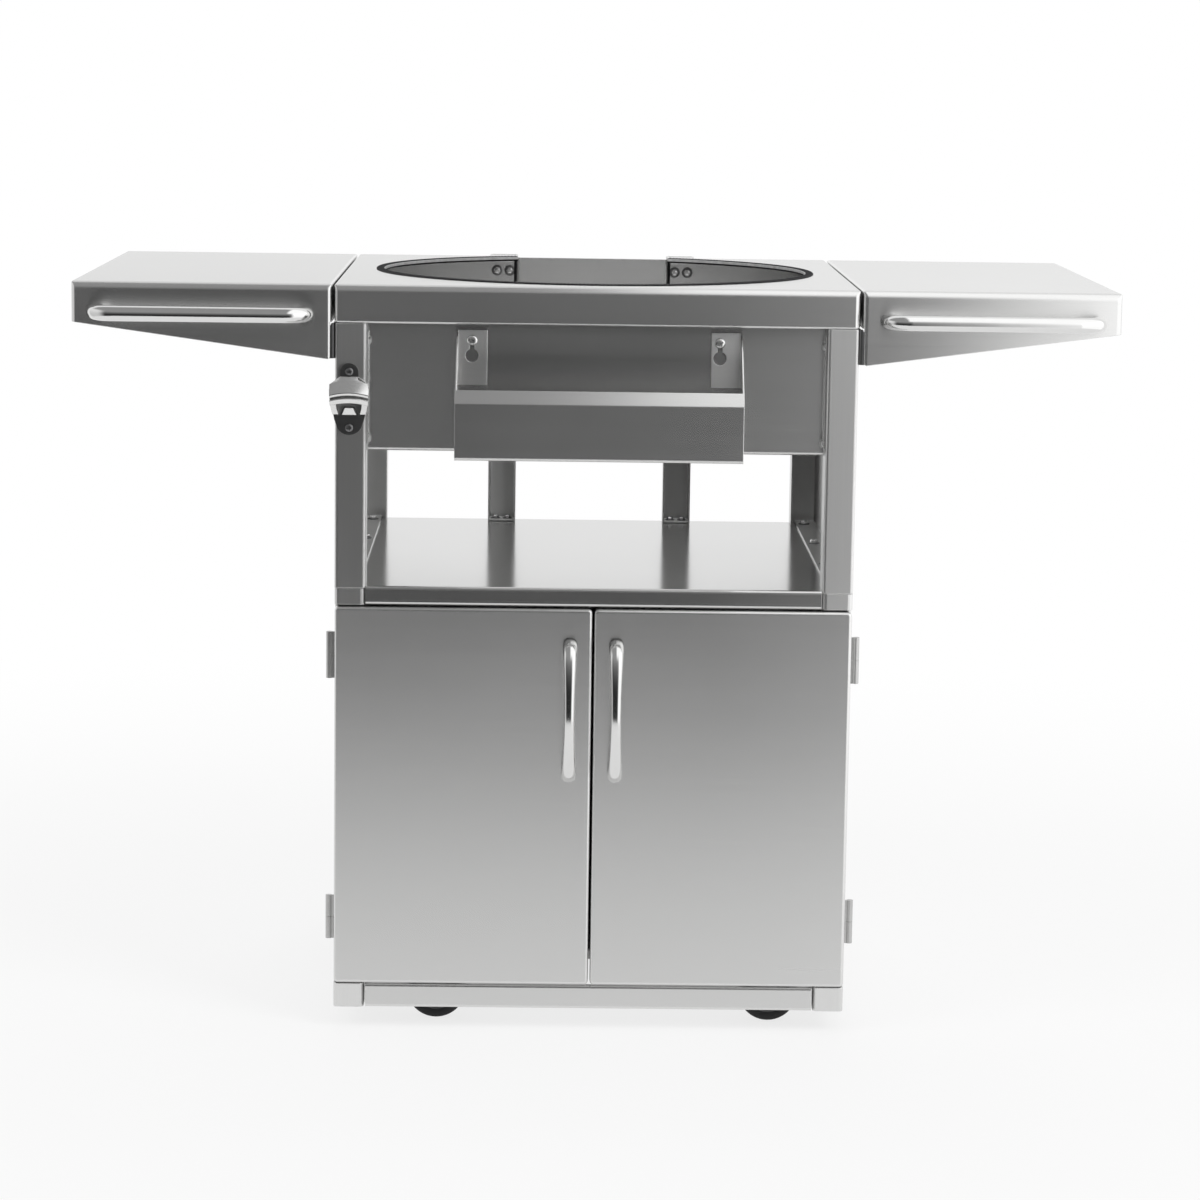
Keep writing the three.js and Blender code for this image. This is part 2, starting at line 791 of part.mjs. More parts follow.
// The handle is where two outlines meet: a bow seen from the side and a waisted bar from the front
function buildHandle() {
  const top = doorTop - handleInset;
  const half = handleLength / 2;
  const middle = top - half;
  const back = doorFront - seat;
  const bowPoint = (reach, tall, t) => [
    back - reach * Math.sin(Math.PI * t),
    middle - tall * Math.cos(Math.PI * t),
  ];
  const steps = Array.from({ length: handleSteps + 1 }, (_, i) => i / handleSteps);
  const outer = steps.map((t) => bowPoint(handleReach, half, t));
  const inner = steps.map((t) => bowPoint(handleReach - handleGrip, half - handleFoot, t)).reverse();
  const bow = alongX(outline([...outer, ...inner]), -handleEnd, handleEnd);
  const roundAt = (share) => {
    const nose = Math.max(0, Math.abs(share) - 1 + handleNoseShare) / handleNoseShare;
    return Math.sqrt(1 - handleNoseRoundShare * nose * nose);
  };
  const widthAt = (share) => (handleWaist + (handleEnd - handleWaist) * share * share) / 2;
  const right = handleShares.map((share) => [widthAt(share) * roundAt(share), middle + half * share]);
  const left = right.map(([x, z]) => [-x, z]).reverse();
  const bar = alongY(outline([...right, ...left]), back - handleReach - overrun, back + overrun);
  return common(bow, bar).translate(handleX, 0, 0);
}

// Hinges: the knuckle on the door turns on a pin that the leaf on the frame carries
const hingeX = bodyHalf + hingeOut;
const hingeY = bodyFront + hingeSetback;
const lowerHinge = [doorBottom + lowerHingeInset, doorBottom + lowerHingeInset + lowerHingeLength];
const upperHinge = [doorTop - upperHingeInset - upperHingeLength, doorTop - upperHingeInset];

function hingeSplit([from, to]) {
  return (from + to) / 2;
}

function buildDoorKnuckle(span) {
  const height = [hingeSplit(span) + seat / 2, span[1]];
  const web = block([doorOuter + seat, hingeX], [hingeY - sheet, hingeY + sheet / 2], height);
  const barrel = alongZ(circle(hingeX, hingeY, hingeBarrel, pinSides), ...height);
  const bore = circle(hingeX, hingeY, hingePin + runningFit, pinSides);
  return cut(join(web, barrel), alongZ(bore, height[0] - overrun, height[1] + overrun));
}

function buildHingeLeaf(span) {
  const height = [span[0], hingeSplit(span) - seat / 2];
  const plate = block(
    [bodyHalf + seat, bodyHalf + seat + sheet],
    [hingeY, hingeY + hingeLeafReach],
    height,
  );
  const web = block([bodyHalf + seat, hingeX], [hingeY - sheet, hingeY + sheet / 2], height);
  const barrel = alongZ(circle(hingeX, hingeY, hingeBarrel, pinSides), ...height);
  const pin = alongZ(circle(hingeX, hingeY, hingePin, pinSides), height[0] + seat, span[1]);
  return join(plate, web, barrel, pin);
}

function buildCatch() {
  const front = doorBack + seat;
  return alongX(outline([
    [front, cabinetTop],
    [front, cabinetTop - catchDrop, bend],
    [front + catchDepth, cabinetTop - catchDrop, bend],
    [front + catchDepth, cabinetTop],
  ]), catchX - catchHalf, catchX + catchHalf);
}

// Side shelves, drawn for the right side: tapered tray, pins, towel bar and wall bracket
const sideShelfInner = topHalf + sideShelfGap;
const sideShelfOuter = sideShelfInner + sideShelfWidth;

function shelfSolid(inset, radius, bottomCut) {
  const x = [sideShelfInner + inset, sideShelfOuter - inset];
  const y = topRear - inset;
  const top = topHeight - inset;
  const front = outline([
    [x[0], topHeight - sideShelfInnerDrop - bottomCut, bottomCut === 0 ? pivotInset : 0],
    [x[1], topHeight - sideShelfOuterDrop - bottomCut],
    [x[1], top, radius],
    [x[0], top, radius],
  ]);
  const side = outline([
    [-y, pivotHeight - sideShelfInnerDrop],
    [y, pivotHeight - sideShelfInnerDrop],
    [y, top, radius],
    [-y, top, radius],
  ]);
  return common(alongY(front, -y, y), alongX(side, x[0], x[1]));
}

function buildSideShelf() {
  const inside = topRear - sheet;
  const openInner = block(
    [sideShelfInner - overrun, sideShelfInner + sheet + overrun],
    [-inside, inside],
    [topHeight - sideShelfInnerDrop - overrun, topHeight - sideShelfInnerFlange],
  );
  const pinHoles = [-1, 1].map((side) => alongY(
    circle(pivotX, pivotHeight, pivotPin + seat, pinSides),
    side * topRear - overrun,
    side * topRear + overrun,
  ));
  return cut(
    shelfSolid(0, softBend + sheet, 0),
    shelfSolid(sheet, softBend, overrun),
    openInner,
    ...pinHoles,
  );
}

// Each pin is let into the apron flush with its face, and its head keeps the bracket's ear on it
function buildShelfPin(end) {
  const shank = sheet + seat + sheet + seat;
  return turned([
    [0, -shank - pivotHeadHeight],
    [pivotHead, -shank - pivotHeadHeight],
    [pivotHead, -shank],
    [pivotPin, -shank],
    [pivotPin, 0],
    [0, 0],
  ], pinSides).rotateX(-end * quarter).translate(pivotX, end * topRear, pivotHeight);
}

// The bracket lies on the side wall under the tabletop's skirt, behind the shelf's aprons
function buildShelfBracket() {
  const reach = pivotX + earRadius;
  const wall = bodyHalf + seat;
  const ends = topRear - sheet - seat;
  const plan = foldedEdge([[reach, ends], [wall, ends], [wall, -ends], [reach, -ends]], sheet, bend);
  const low = pivotHeight - earRadius;
  const high = skirtBottom - seat;
  const side = outline([
    [wall - overrun, low],
    [reach, low, earRadius],
    [reach, pivotHeight + earRadius, earRadius],
    [wall + sheet + earShoulder, high],
    [wall - overrun, high],
  ]);
  const holes = [-1, 1].map((end) => alongY(
    circle(pivotX, pivotHeight, pivotPin + runningFit, pinSides),
    end * ends - overrun,
    end * ends + overrun,
  ));
  return cut(common(alongZ(plan, low, high), alongY(side, -topRear, topRear)), ...holes);
}

// A towel bar's middle line: out of the apron, round an elbow, along, and back in
class TowelBarLine extends THREE.Curve {
  getUtoTmapping(u) {
    return u;
  }

  getPoint(t) {
    const start = topFront - seat;
    const height = topHeight - towelBarDrop;
    const inner = sideShelfInner + towelBarInnerInset + towelBarRadius;
    const outer = sideShelfOuter - towelBarOuterInset - towelBarRadius;
    const fromInner = t + t < 1;
    const half = fromInner ? t + t : 2 - t - t;
    const end = fromInner ? inner : outer;
    const towards = fromInner ? 1 : -1;
    const legShare = 2 / towelBarSteps;
    const leg = towelBarReach - towelBarElbow - seat;
    if (half < legShare) {
      return new THREE.Vector3(end, start - (leg * half) / legShare, height);
    }
    const share = Math.min(1, (half - legShare) / (1 - legShare - legShare));
    const angle = share * quarter;
    const along = towelBarElbow * (1 - Math.cos(angle));
    const out = leg + towelBarElbow * Math.sin(angle);
    const straight = (outer - inner) / 2 - towelBarElbow;
    const run = Math.max(0, (half - 1 + legShare) / legShare) * straight;
    return new THREE.Vector3(end + towards * (along + run), start - out, height);
  }
}

function buildTowelBar() {
  const section = circle(0, 0, towelBarRadius, towelBarSides);
  const extrudePath = new TowelBarLine();
  return new THREE.ExtrudeGeometry(section, { steps: towelBarSteps, extrudePath, bevelEnabled: false });
}

// Casters: bolted plate, swivelling fork, axle, wheel and brake pedal
const pedalPivotX = trail + pedalPivotOut;
const pedalPivotHeight = forkTop - pedalPivotDrop;

function casterCentres() {
  const x = bodyHalf - casterSideInset;
  const ys = [bodyFront + casterEndInset, bodyRear - casterEndInset];
  return ys.flatMap((y) => [[-x, y], [x, y]]);
}

function buildCasterPlate(x, y) {
  const top = floorUnder - seat;
  const under = top - casterPlateSheet;
  const plate = alongZ(outline([
    [-casterPlateHalf, -casterPlateHalf, bend],
    [casterPlateHalf, -casterPlateHalf, bend],
    [casterPlateHalf, casterPlateHalf, bend],
    [-casterPlateHalf, casterPlateHalf, bend],
  ]), under, top);
  const race = turned([
    [0, forkTop - kingpinDrop],
    [kingpin, forkTop - kingpinDrop],
    [kingpin, raceTop + seat],
    [raceRadius, raceTop + seat],
    [raceRadius, under + sheet / 2],
    [0, under + sheet / 2],
  ], pinSides);
  return join(plate, race).translate(x, y, 0);
}

function buildFork() {
  const outer = forkInner + forkSheet;
  const ring = (radius, sides) => circle(0, 0, radius, sides);
  const straddle = alongX(foldedEdge([
    [outer, 0],
    [outer, forkTop],
    [-outer, forkTop],
    [-outer, 0],
  ], forkSheet, bend), -wheelRadius, wheelRadius);
  const legSide = outline([
    [-forkBack, forkTop],
    [-forkBack, forkTop - forkSkirt],
    [trail - forkEnd, wheelRadius - forkEnd, forkEnd - seat],
    [trail + forkEnd, wheelRadius - forkEnd, forkEnd - seat],
    [pedalPivotX + pedalKnuckle, forkTop - forkSkirt],
    [pedalPivotX + pedalKnuckle, forkTop],
  ]);
  const legs = common(straddle, alongY(legSide, -outer - overrun, outer + overrun));
  const race = alongZ(ring(raceRadius, pinSides), forkTop - sheet, raceTop);
  const pedalRoom = block(
    [trail, wheelRadius],
    [-forkInner, forkInner],
    [forkTop - forkSheet - overrun, forkTop + overrun],
  );
  const throughLegs = (x, z, radius) => alongY(
    circle(x, z, radius, pinSides),
    -outer - overrun,
    outer + overrun,
  );
  return cut(
    join(cut(legs, pedalRoom), race),
    alongZ(ring(kingpin + runningFit, pinSides), forkTop - forkSheet - overrun, raceTop + overrun),
    throughLegs(pedalPivotX, pedalPivotHeight, pedalPin + runningFit),
  );
}

// The axle is riveted over outside the legs
function buildAxle() {
  const end = forkInner + forkSheet;
  return turned([
    [0, -end - axleHeadHeight],
    [axleHead, -end - axleHeadHeight],
    [axleHead, -end + seat],
    [axleRadius, -end + seat],
    [axleRadius, end - seat],
    [axleHead, end - seat],
    [axleHead, end + axleHeadHeight],
    [0, end + axleHeadHeight],
  ], pinSides).rotateX(quarter).translate(trail, 0, wheelRadius);
}

function buildWheel() {
  const bore = axleRadius + runningFit;
  const profile = (side) => [
    [bore, side * hubHalf],
    [hubRadius, side * hubHalf],
    [hubRadius, side * wheelHalf],
    [wheelRadius - tyreShoulder, side * wheelHalf],
    [wheelRadius, side * (wheelHalf - tyreShoulder)],
  ];
  const half = profile(-1);
  return turned([...half, ...profile(1).reverse(), half[0]], wheelSides).rotateX(quarter);
}

function buildPedal() {
  const under = pedalPivotHeight - pedalKnuckle + pedalSheet;
  const pad = alongY(foldedEdge([
    [pedalPivotX + pedalReach, pedalPivotHeight - pedalTipDrop],
    [pedalPivotX + pedalKnuckle, under],
    [pedalPivotX, under],
  ].reverse(), pedalSheet, bend / 2), -pedalHalf, pedalHalf);
  const knuckleRound = circle(pedalPivotX, pedalPivotHeight, pedalKnuckle, pinSides);
  const knuckle = alongY(knuckleRound, -pedalHalf, pedalHalf);
  const end = forkInner + forkSheet + seat;
  const pin = alongY(circle(pedalPivotX, pedalPivotHeight, pedalPin, pinSides), -end, end);
  return join(pad, knuckle, pin);
}

// Tabletop and what closes its edges
add(table, 'tabletop', buildTabletop(), 'brushed');
add(table, 'cutout_trim', buildTrim(), 'trim');
add(table, 'notch_panel', buildNotchPanel(), 'brushed');

// Bay
const sideWall = buildSideWall();
add(table, 'side_wall_left', mirrored(sideWall), 'brushed');
add(table, 'side_wall_right', sideWall, 'brushed');
add(table, 'front_apron', buildFrontApron(), 'brushed');
add(table, 'rear_apron', buildRearApron(), 'brushed');
const upright = buildUpright();
add(table, 'upright_left', mirrored(upright), 'brushed');
add(table, 'upright_right', upright, 'brushed');
add(table, 'mid_shelf', buildMidShelf(), 'brushed');

// Cabinet
const cabinetSide = buildCabinetSide();
add(table, 'cabinet_side_left', mirrored(cabinetSide), 'brushed');
add(table, 'cabinet_side_right', cabinetSide, 'brushed');
add(table, 'cabinet_back', buildCabinetBack(), 'brushed');
add(table, 'cabinet_floor', buildCabinetFloor(), 'brushed');
add(table, 'base_rail', buildBaseRail(), 'brushed');

add(table, 'bottle_opener', buildOpener(), 'plated');

// Rack, lifted straight up off its screws
const rackGroup = movingGroup('rack_lift', 0, apronFront, rackBottom);
addMoving(rackGroup, 'rack', buildRack(), 'brushed');

add(table, 'rack_screw_left', buildRackScrew(keyholePlaces[0]), 'plated');
add(table, 'rack_screw_right', buildRackScrew(keyholePlaces[1]), 'plated');

// Doors and their hinges
const doorPieces = [
  ['skin', buildDoorSkin(), 'brushed'],
  ['liner', buildDoorLiner(), 'brushed'],
  ['handle', buildHandle(), 'polished'],
  ['knuckle_lower', buildDoorKnuckle(lowerHinge), 'plated'],
  ['knuckle_upper', buildDoorKnuckle(upperHinge), 'plated'],
];
const hingeLeaves = [['lower', buildHingeLeaf(lowerHinge)], ['upper', buildHingeLeaf(upperHinge)]];
const doorCatch = buildCatch();
const hands = [['left', -1], ['right', 1]];

for (const [hand, side] of hands) {
  const onSide = (geometry) => (side < 0 ? mirrored(geometry) : geometry);
  add(table, `door_catch_${hand}`, onSide(doorCatch), 'magnet');
  for (const [place, geometry] of hingeLeaves) {
    add(table, `hinge_leaf_${place}_${hand}`, onSide(geometry), 'plated');
  }
  const doorGroup = movingGroup(`door_${hand}`, side * hingeX, hingeY, doorBottom);
  for (const [piece, geometry, surface] of doorPieces) {
    addMoving(doorGroup, `door_${piece}_${hand}`, onSide(geometry), surface);
  }
}

// Folding shelves
const shelfPieces = [
  ['side_shelf', buildSideShelf(), 'brushed'],
  ['shelf_pin_front', buildShelfPin(-1), 'plated'],
  ['shelf_pin_rear', buildShelfPin(1), 'plated'],
  ['towel_bar', buildTowelBar(), 'polished'],
];
const shelfBracket = buildShelfBracket();

for (const [hand, side] of hands) {
  const onSide = (geometry) => (side < 0 ? mirrored(geometry) : geometry);
  add(table, `shelf_bracket_${hand}`, onSide(shelfBracket), 'brushed');
  const shelfGroup = movingGroup(`shelf_${hand}`, side * pivotX, 0, pivotHeight);
  for (const [piece, geometry, surface] of shelfPieces) {
    addMoving(shelfGroup, `${piece}_${hand}`, onSide(geometry), surface);
  }
}

// Casters
const casterNames = ['front_left', 'front_right', 'rear_left', 'rear_right'];

casterCentres().forEach(([x, y], i) => {
  const name = casterNames[i];
  const swivel = movingGroup(`caster_${name}`, x, y, 0);
  add(table, `caster_plate_${name}`, buildCasterPlate(x, y), 'plated');
  add(swivel, `fork_${name}`, join(buildFork(), buildAxle()), 'plated');
  const spin = new THREE.Group();
  spin.name = `spin_${name}`;
  spin.position.set(trail, 0, wheelRadius);
  swivel.add(spin);
  add(spin, `wheel_${name}`, buildWheel(), 'tyre');
  if (name.startsWith('front')) {
    const press = new THREE.Group();
    press.name = `press_${name}`;
    press.position.set(pedalPivotX, 0, pedalPivotHeight);
    swivel.add(press);
    const pedal = buildPedal().translate(-pedalPivotX, 0, -pedalPivotHeight);
    add(press, `pedal_${name}`, pedal, 'plated');
  }
});

export default table;
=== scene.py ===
# %% [markdown]
# A kamado grill table in stainless sheet: a wheeled cabinet with two doors, an open bay for the
# cooker, a tabletop with a round cut-out, two folding side shelves and a hook-on rack.
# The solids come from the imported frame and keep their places. This lesson dresses them: it
# lights them, gives each one a finish, and adds the small forms that folding, welding and
# screwing leave behind. Everything is in metres, with the front towards -Y.

import json
from math import asin, copysign, cos, pi, radians, sin, sqrt, tau

import bmesh
import bpy
from mathutils import Matrix, Vector

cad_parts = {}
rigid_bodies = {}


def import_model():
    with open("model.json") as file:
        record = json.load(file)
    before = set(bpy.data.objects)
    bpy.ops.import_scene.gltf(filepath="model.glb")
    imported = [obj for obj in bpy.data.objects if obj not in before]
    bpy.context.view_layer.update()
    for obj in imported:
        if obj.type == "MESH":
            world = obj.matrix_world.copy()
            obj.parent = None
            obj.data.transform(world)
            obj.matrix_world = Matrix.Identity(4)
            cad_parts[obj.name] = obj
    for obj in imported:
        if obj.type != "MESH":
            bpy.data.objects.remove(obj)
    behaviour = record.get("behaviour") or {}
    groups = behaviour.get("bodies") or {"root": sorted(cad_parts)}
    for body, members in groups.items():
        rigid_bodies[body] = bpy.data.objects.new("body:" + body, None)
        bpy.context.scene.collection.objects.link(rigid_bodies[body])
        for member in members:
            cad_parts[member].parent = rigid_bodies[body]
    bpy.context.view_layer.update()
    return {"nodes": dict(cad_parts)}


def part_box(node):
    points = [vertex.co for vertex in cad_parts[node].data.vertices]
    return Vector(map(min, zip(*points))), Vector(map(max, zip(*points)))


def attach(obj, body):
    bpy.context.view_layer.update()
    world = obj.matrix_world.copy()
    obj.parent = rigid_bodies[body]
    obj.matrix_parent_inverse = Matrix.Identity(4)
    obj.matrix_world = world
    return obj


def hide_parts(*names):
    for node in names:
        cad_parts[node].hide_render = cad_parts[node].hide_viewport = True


for leftover in list(bpy.data.objects):
    bpy.data.objects.remove(leftover)

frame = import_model()
nodes = frame["nodes"]

# %% [markdown]
# The camera stands where the photographer stood: nearly in front, a little above the tabletop,
# almost five metres away, with a long lens that keeps upright edges upright. A constraint
# could aim it, but three directions in a matrix also hold the slight tilt of the picture.

# %% Camera
def add_object(name, data):
    made = bpy.data.objects.new(name, data)
    bpy.context.scene.collection.objects.link(made)
    return made


camera_place = Vector((-0.0633, -4.7604, 1.2395))
look_down = radians(8.83)
look_right = radians(0.91)
tilt = radians(0.81)

forward = Vector((sin(look_right) * cos(look_down), cos(look_right) * cos(look_down),
                  -sin(look_down)))
level = Vector((cos(look_right), -sin(look_right), 0))
upright = level.cross(forward)
across = cos(tilt) * level + sin(tilt) * upright
upward = cos(tilt) * upright - sin(tilt) * level

camera_data = bpy.data.cameras.new("photo_camera")
camera_data.sensor_width = 36
camera_data.lens = 110.17
camera = add_object("photo_camera", camera_data)
turn = Matrix((across, upward, -forward)).transposed()
camera.matrix_world = Matrix.Translation(camera_place) @ turn.to_4x4()
bpy.context.scene.camera = camera
bpy.context.scene.view_settings.view_transform = "Standard"
print("camera", round((camera_place - Vector((0, 0, 0.5))).length, 2), "m from the table")

# %% [markdown]
# A material is a small graph of nodes. It could be clicked together by hand, but a few helpers
# keep every recipe short and repeatable: one adds a node with its settings and wires, and the
# others are the sums and noises that the finishes share. A value that is the same all over a
# surface is typed straight into the shader, so that an exported model keeps it.

# %% Helpers for materials
def add_node(tree, kind, inputs=None, **settings):
    made = tree.nodes.new("ShaderNode" + kind)
    for key, value in settings.items():
        setattr(made, key, value)
    for key, value in (inputs or {}).items():
        if isinstance(value, bpy.types.NodeSocket):
            tree.links.new(value, made.inputs[key])
        else:
            made.inputs[key].default_value = value
    return made


def empty_material(name):
    material = bpy.data.materials.new(name)
    material.use_nodes = True
    material.node_tree.nodes.clear()
    return material, material.node_tree


def close_tree(tree, shader, kind="OutputMaterial"):
    add_node(tree, kind, {"Surface": shader.outputs[0]})


def maths(tree, operation, a, b=0.0, c=0.0, clamp=False):
    inputs = {0: a, 1: b, 2: c}
    return add_node(tree, "Math", inputs, operation=operation, use_clamp=clamp).outputs[0]


def vector_maths(tree, operation, a, b=(0, 0, 0)):
    made = add_node(tree, "VectorMath", {0: a, 1: b}, operation=operation)
    return made.outputs["Value" if operation in ("DOT_PRODUCT", "LENGTH") else "Vector"]


def between(tree, value, low, high):
    inputs = {"Value": value, "To Min": low, "To Max": high}
    return add_node(tree, "MapRange", inputs).outputs["Result"]


def ramp(tree, value, start, stop, low=0.0, high=1.0):
    inputs = {"Value": value, "From Min": start, "From Max": stop, "To Min": low, "To Max": high}
    made = add_node(tree, "MapRange", inputs, interpolation_type="SMOOTHSTEP")
    return made.outputs["Result"]


def object_place(tree):
    return add_node(tree, "TexCoord").outputs["Object"]


def noise(tree, scale, detail):
    inputs = {"Vector": object_place(tree), "Scale": scale, "Detail": detail}
    return add_node(tree, "TexNoise", inputs).outputs["Fac"]


def bumped(tree, strength, distance, height, **normal):
    inputs = {"Strength": strength, "Distance": distance, "Height": height, **normal}
    return add_node(tree, "Bump", inputs).outputs[0]


def close_finish(material, base, tone, inputs):
    tree = material.node_tree
    color = add_node(tree, "VectorMath", {0: base, 3: tone}, operation="SCALE").outputs[0]
    close_tree(tree, add_node(tree, "BsdfPrincipled", {"Base Color": color, **inputs}))
    return material


print("view transform", bpy.context.scene.view_settings.view_transform)

# %% [markdown]
# The photograph has no floor line: the paper runs up into the white behind the table. A studio
# would use a curved backdrop. Here one flat floor is enough, mixed with white wherever the
# camera or a reflection sees it, but less so near the table, where the soft shadow stays.

# %% Floor
def seen_directly(tree):
    ray = add_node(tree, "LightPath").outputs
    seen = maths(tree, "MAXIMUM", ray["Is Camera Ray"], ray["Is Glossy Ray"])
    return maths(tree, "MAXIMUM", seen, ray["Is Transmission Ray"])


def mesh_from(name, bm):
    mesh = bpy.data.meshes.new(name)
    bm.to_mesh(mesh)
    bm.free()
    return mesh


floor_reach = 60
shadow_edge, all_white = 0.7, 2.6

grid = bmesh.new()
bmesh.ops.create_grid(grid, x_segments=8, y_segments=8, size=floor_reach)
floor = add_object("floor", mesh_from("floor", grid))
material, tree = empty_material("pale_floor")
paper = add_node(tree, "BsdfDiffuse", {"Color": (0.86, 0.86, 0.86, 1)})
white = add_node(tree, "Emission", {"Color": (1, 1, 1, 1), "Strength": 1.0})
distance = vector_maths(tree, "LENGTH", object_place(tree))
whiteness = ramp(tree, distance, shadow_edge, all_white, 0.78, 1.0)
share = maths(tree, "MULTIPLY", seen_directly(tree), whiteness)
close_tree(tree, add_node(tree, "MixShader", {0: share, 1: paper.outputs[0], 2: white.outputs[0]}))
floor.data.materials.append(material)
print("floor white from", all_white, "m out")

# %% [markdown]
# The background is the white paper round the table. It could be a lit wall, but the world
# colour needs no geometry. It is full white for the camera and for reflections, and a softer
# grey for the light that it sheds, so that the metal isn't washed out.

# %% World
world = bpy.data.worlds.new("studio")
world.use_nodes = True
bpy.context.scene.world = world
tree = world.node_tree
tree.nodes.clear()
soft_white, full_white = [add_node(tree, "Background", {"Color": (1, 1, 1, 1), "Strength": glow})
                          for glow in (0.55, 1.0)]
mixed = add_node(tree, "MixShader",
                 {0: seen_directly(tree), 1: soft_white.outputs[0], 2: full_white.outputs[0]})
close_tree(tree, mixed, "OutputWorld")
print("world", world.name)

# %% [markdown]
# Brushed and polished metal shows the room more than itself. A photographer puts such a table
# in a tent of grey cloth: dark in front and to the left, bright to the right, open at the back.
# Cards could stand in for it, but one shell that only reflections see is simpler and has no
# seams. It rises straight for half its height, then closes as a dome.

# %% Reflection tent
tent_radius = 1.9
tent_height = 2.6
tent_opening = radians(80)
tent_columns, tent_rows = 72, 18
tent_turn = tau - 2 * tent_opening

shell = bmesh.new()
grid = []
for i in range(tent_columns + 1):
    angle = pi / 2 + tent_opening + tent_turn * i / tent_columns
    column = []
    for j in range(tent_rows + 1):
        climb = j / tent_rows
        radius, height = tent_radius, climb * tent_height
        if climb >= 0.5:
            dome = (climb - 0.5) * pi
            radius = tent_radius * cos(dome) + 0.001
            height = tent_height * (0.5 + 0.5 * sin(dome))
        place = (radius * cos(angle), radius * sin(angle), height)
        column.append(shell.verts.new(place))
    grid.append(column)
for left, right in zip(grid, grid[1:]):
    for j in range(tent_rows):
        shell.faces.new((left[j], right[j], right[j + 1], left[j + 1]))
tent = add_object("tent", mesh_from("tent", shell))
for kind in ("camera", "diffuse", "shadow", "transmission"):
    setattr(tent, f"visible_{kind}", False)
print("tent", tent_radius, "m in radius,", tent_height, "m high")

# %% [markdown]
# The cloth glows by its place in the tent, so the bands on the steel stay where they are when
# the camera moves. A picture could do that, but soft ramps are easy to change: the wall
# brightens as it rises, with a faint step right of the middle, a bright right end and a lit far
# left end, and the ceiling is bright over the right half.

# %% Tent cloth
material, tree = empty_material("tent_cloth")
part = add_node(tree, "SeparateXYZ", {0: object_place(tree)}).outputs
wall = ramp(tree, part["Z"], 0.48, 2.1, 0.03, 0.42)
for start, stop, brighter in ((0.22, 0.42, 0.08), (0.45, 0.95, 1.25), (-1.35, -1.8, 0.7)):
    wall = maths(tree, "ADD", wall, ramp(tree, part["X"], start, stop, 0.0, brighter))
ceiling = ramp(tree, part["X"], -0.05, 0.22, 0.34, 1.35)
overhead = ramp(tree, part["Z"], 1.4, 2.0)
glow = add_node(tree, "Mix", {0: overhead, 2: wall, 3: ceiling}).outputs[0]
close_tree(tree, add_node(tree, "Emission", {"Color": (1, 1, 1, 1), "Strength": glow}))
tent.data.materials.append(material)
print("cloth", len(tree.nodes), "nodes")

# %% [markdown]
# Three lamps give the shadows and light the rubber, the plastic and the inside of the cabinet.
# A sun lamp would cut hard shadows, so wide discs were chosen, whose size sets how soft a
# shadow's edge is. Reflections don't see them: the tent alone draws the bands on the steel.

# %% Lamps
def soft_lamp(name, place, target, width, power):
    data = bpy.data.lights.new(name, "AREA")
    data.shape = "DISK"
    data.size = width
    data.energy = power
    lamp = add_object(name, data)
    lamp.location = place
    aim = Vector(target) - Vector(place)
    lamp.rotation_euler = aim.to_track_quat("-Z", "Y").to_euler()
    lamp.visible_glossy = False


soft_lamp("key_lamp", (2.4, -2.6, 3.0), (0, 0, 0.5), 2.0, 60)
soft_lamp("fill_lamp", (-2.6, -2.0, 2.6), (0, 0, 0.5), 2.4, 30)
soft_lamp("back_lamp", (0.2, 2.6, 3.0), (0, 0, 0.6), 2.0, 30)
print("lamps", len(bpy.data.lights))

# %% [markdown]
# Folds and cut edges on the real table are rounded and rubbed by hands. Each could be modelled
# round, but a bevel node does it for every solid at once: it bends the shading over a set
# radius. Where the bent and the true direction part, the metal is smoother, as rubbed wear,
# and its colour is brighter, a painted highlight along the edge.

# %% Worn edges and painted highlight
def worn_edge_and_highlight(tree, radius, samples, strength):
    true_normal = add_node(tree, "NewGeometry").outputs["True Normal"]
    rounded = add_node(tree, "Bevel", {"Radius": radius}, samples=samples).outputs[0]
    match = vector_maths(tree, "DOT_PRODUCT", rounded, true_normal)
    edge = maths(tree, "SUBTRACT", 1.0, match, clamp=True)
    # The mask makes edges smoother, as wear, and lets the finishes brighten them as a painted
    # highlight.
    return rounded, maths(tree, "MULTIPLY", edge, strength, clamp=True)


def grain_noise(tree, along, scale, stretch):
    scales = [scale / stretch if axis == along else scale for axis in "XYZ"]
    mapped = add_node(tree, "Mapping", {"Vector": object_place(tree), "Scale": scales})
    inputs = {"Vector": mapped.outputs[0], "Scale": 1.0, "Detail": 2.0, "Roughness": 0.6}
    return add_node(tree, "TexNoise", inputs).outputs["Fac"]


print("edge and grain helpers ready")

# %% [markdown]
# Brushed stainless sheet. A belt drags fine scratches along the sheet, so a reflection stays
# sharp along the grain and smears across it. Every scratch could be drawn as bump, but at this
# distance the smear is what shows, so the shader's anisotropy does most of it, and noise
# stretched along the grain adds faint streaks. The grain runs level on every face, or upright
# on the posts. Two settings roughen the front faces, above a height or everywhere; above the
# height the colour is also painted lighter, a painted reflection.

# %% Brushed steel
def grained(tree, grain, faces_side, scale, stretch):
    if grain == "upright":
        return grain_noise(tree, "Z", scale, stretch)
    front = grain_noise(tree, "X", scale, stretch)
    side = grain_noise(tree, "Y", scale, stretch)
    return add_node(tree, "Mix", {0: faces_side, 2: front, 3: side}).outputs[0]


def smear_direction(tree, grain, true_normal):
    nearly_up = (0.001, 0, 1)
    if grain == "upright":
        smear = vector_maths(tree, "CROSS_PRODUCT", nearly_up, true_normal)
    else:
        flat = vector_maths(tree, "CROSS_PRODUCT", (0, 0, 1), true_normal)
        flat = vector_maths(tree, "ADD", flat, (0.001, 0, 0))
        smear = vector_maths(tree, "CROSS_PRODUCT", true_normal, flat)
    return vector_maths(tree, "NORMALIZE", smear)


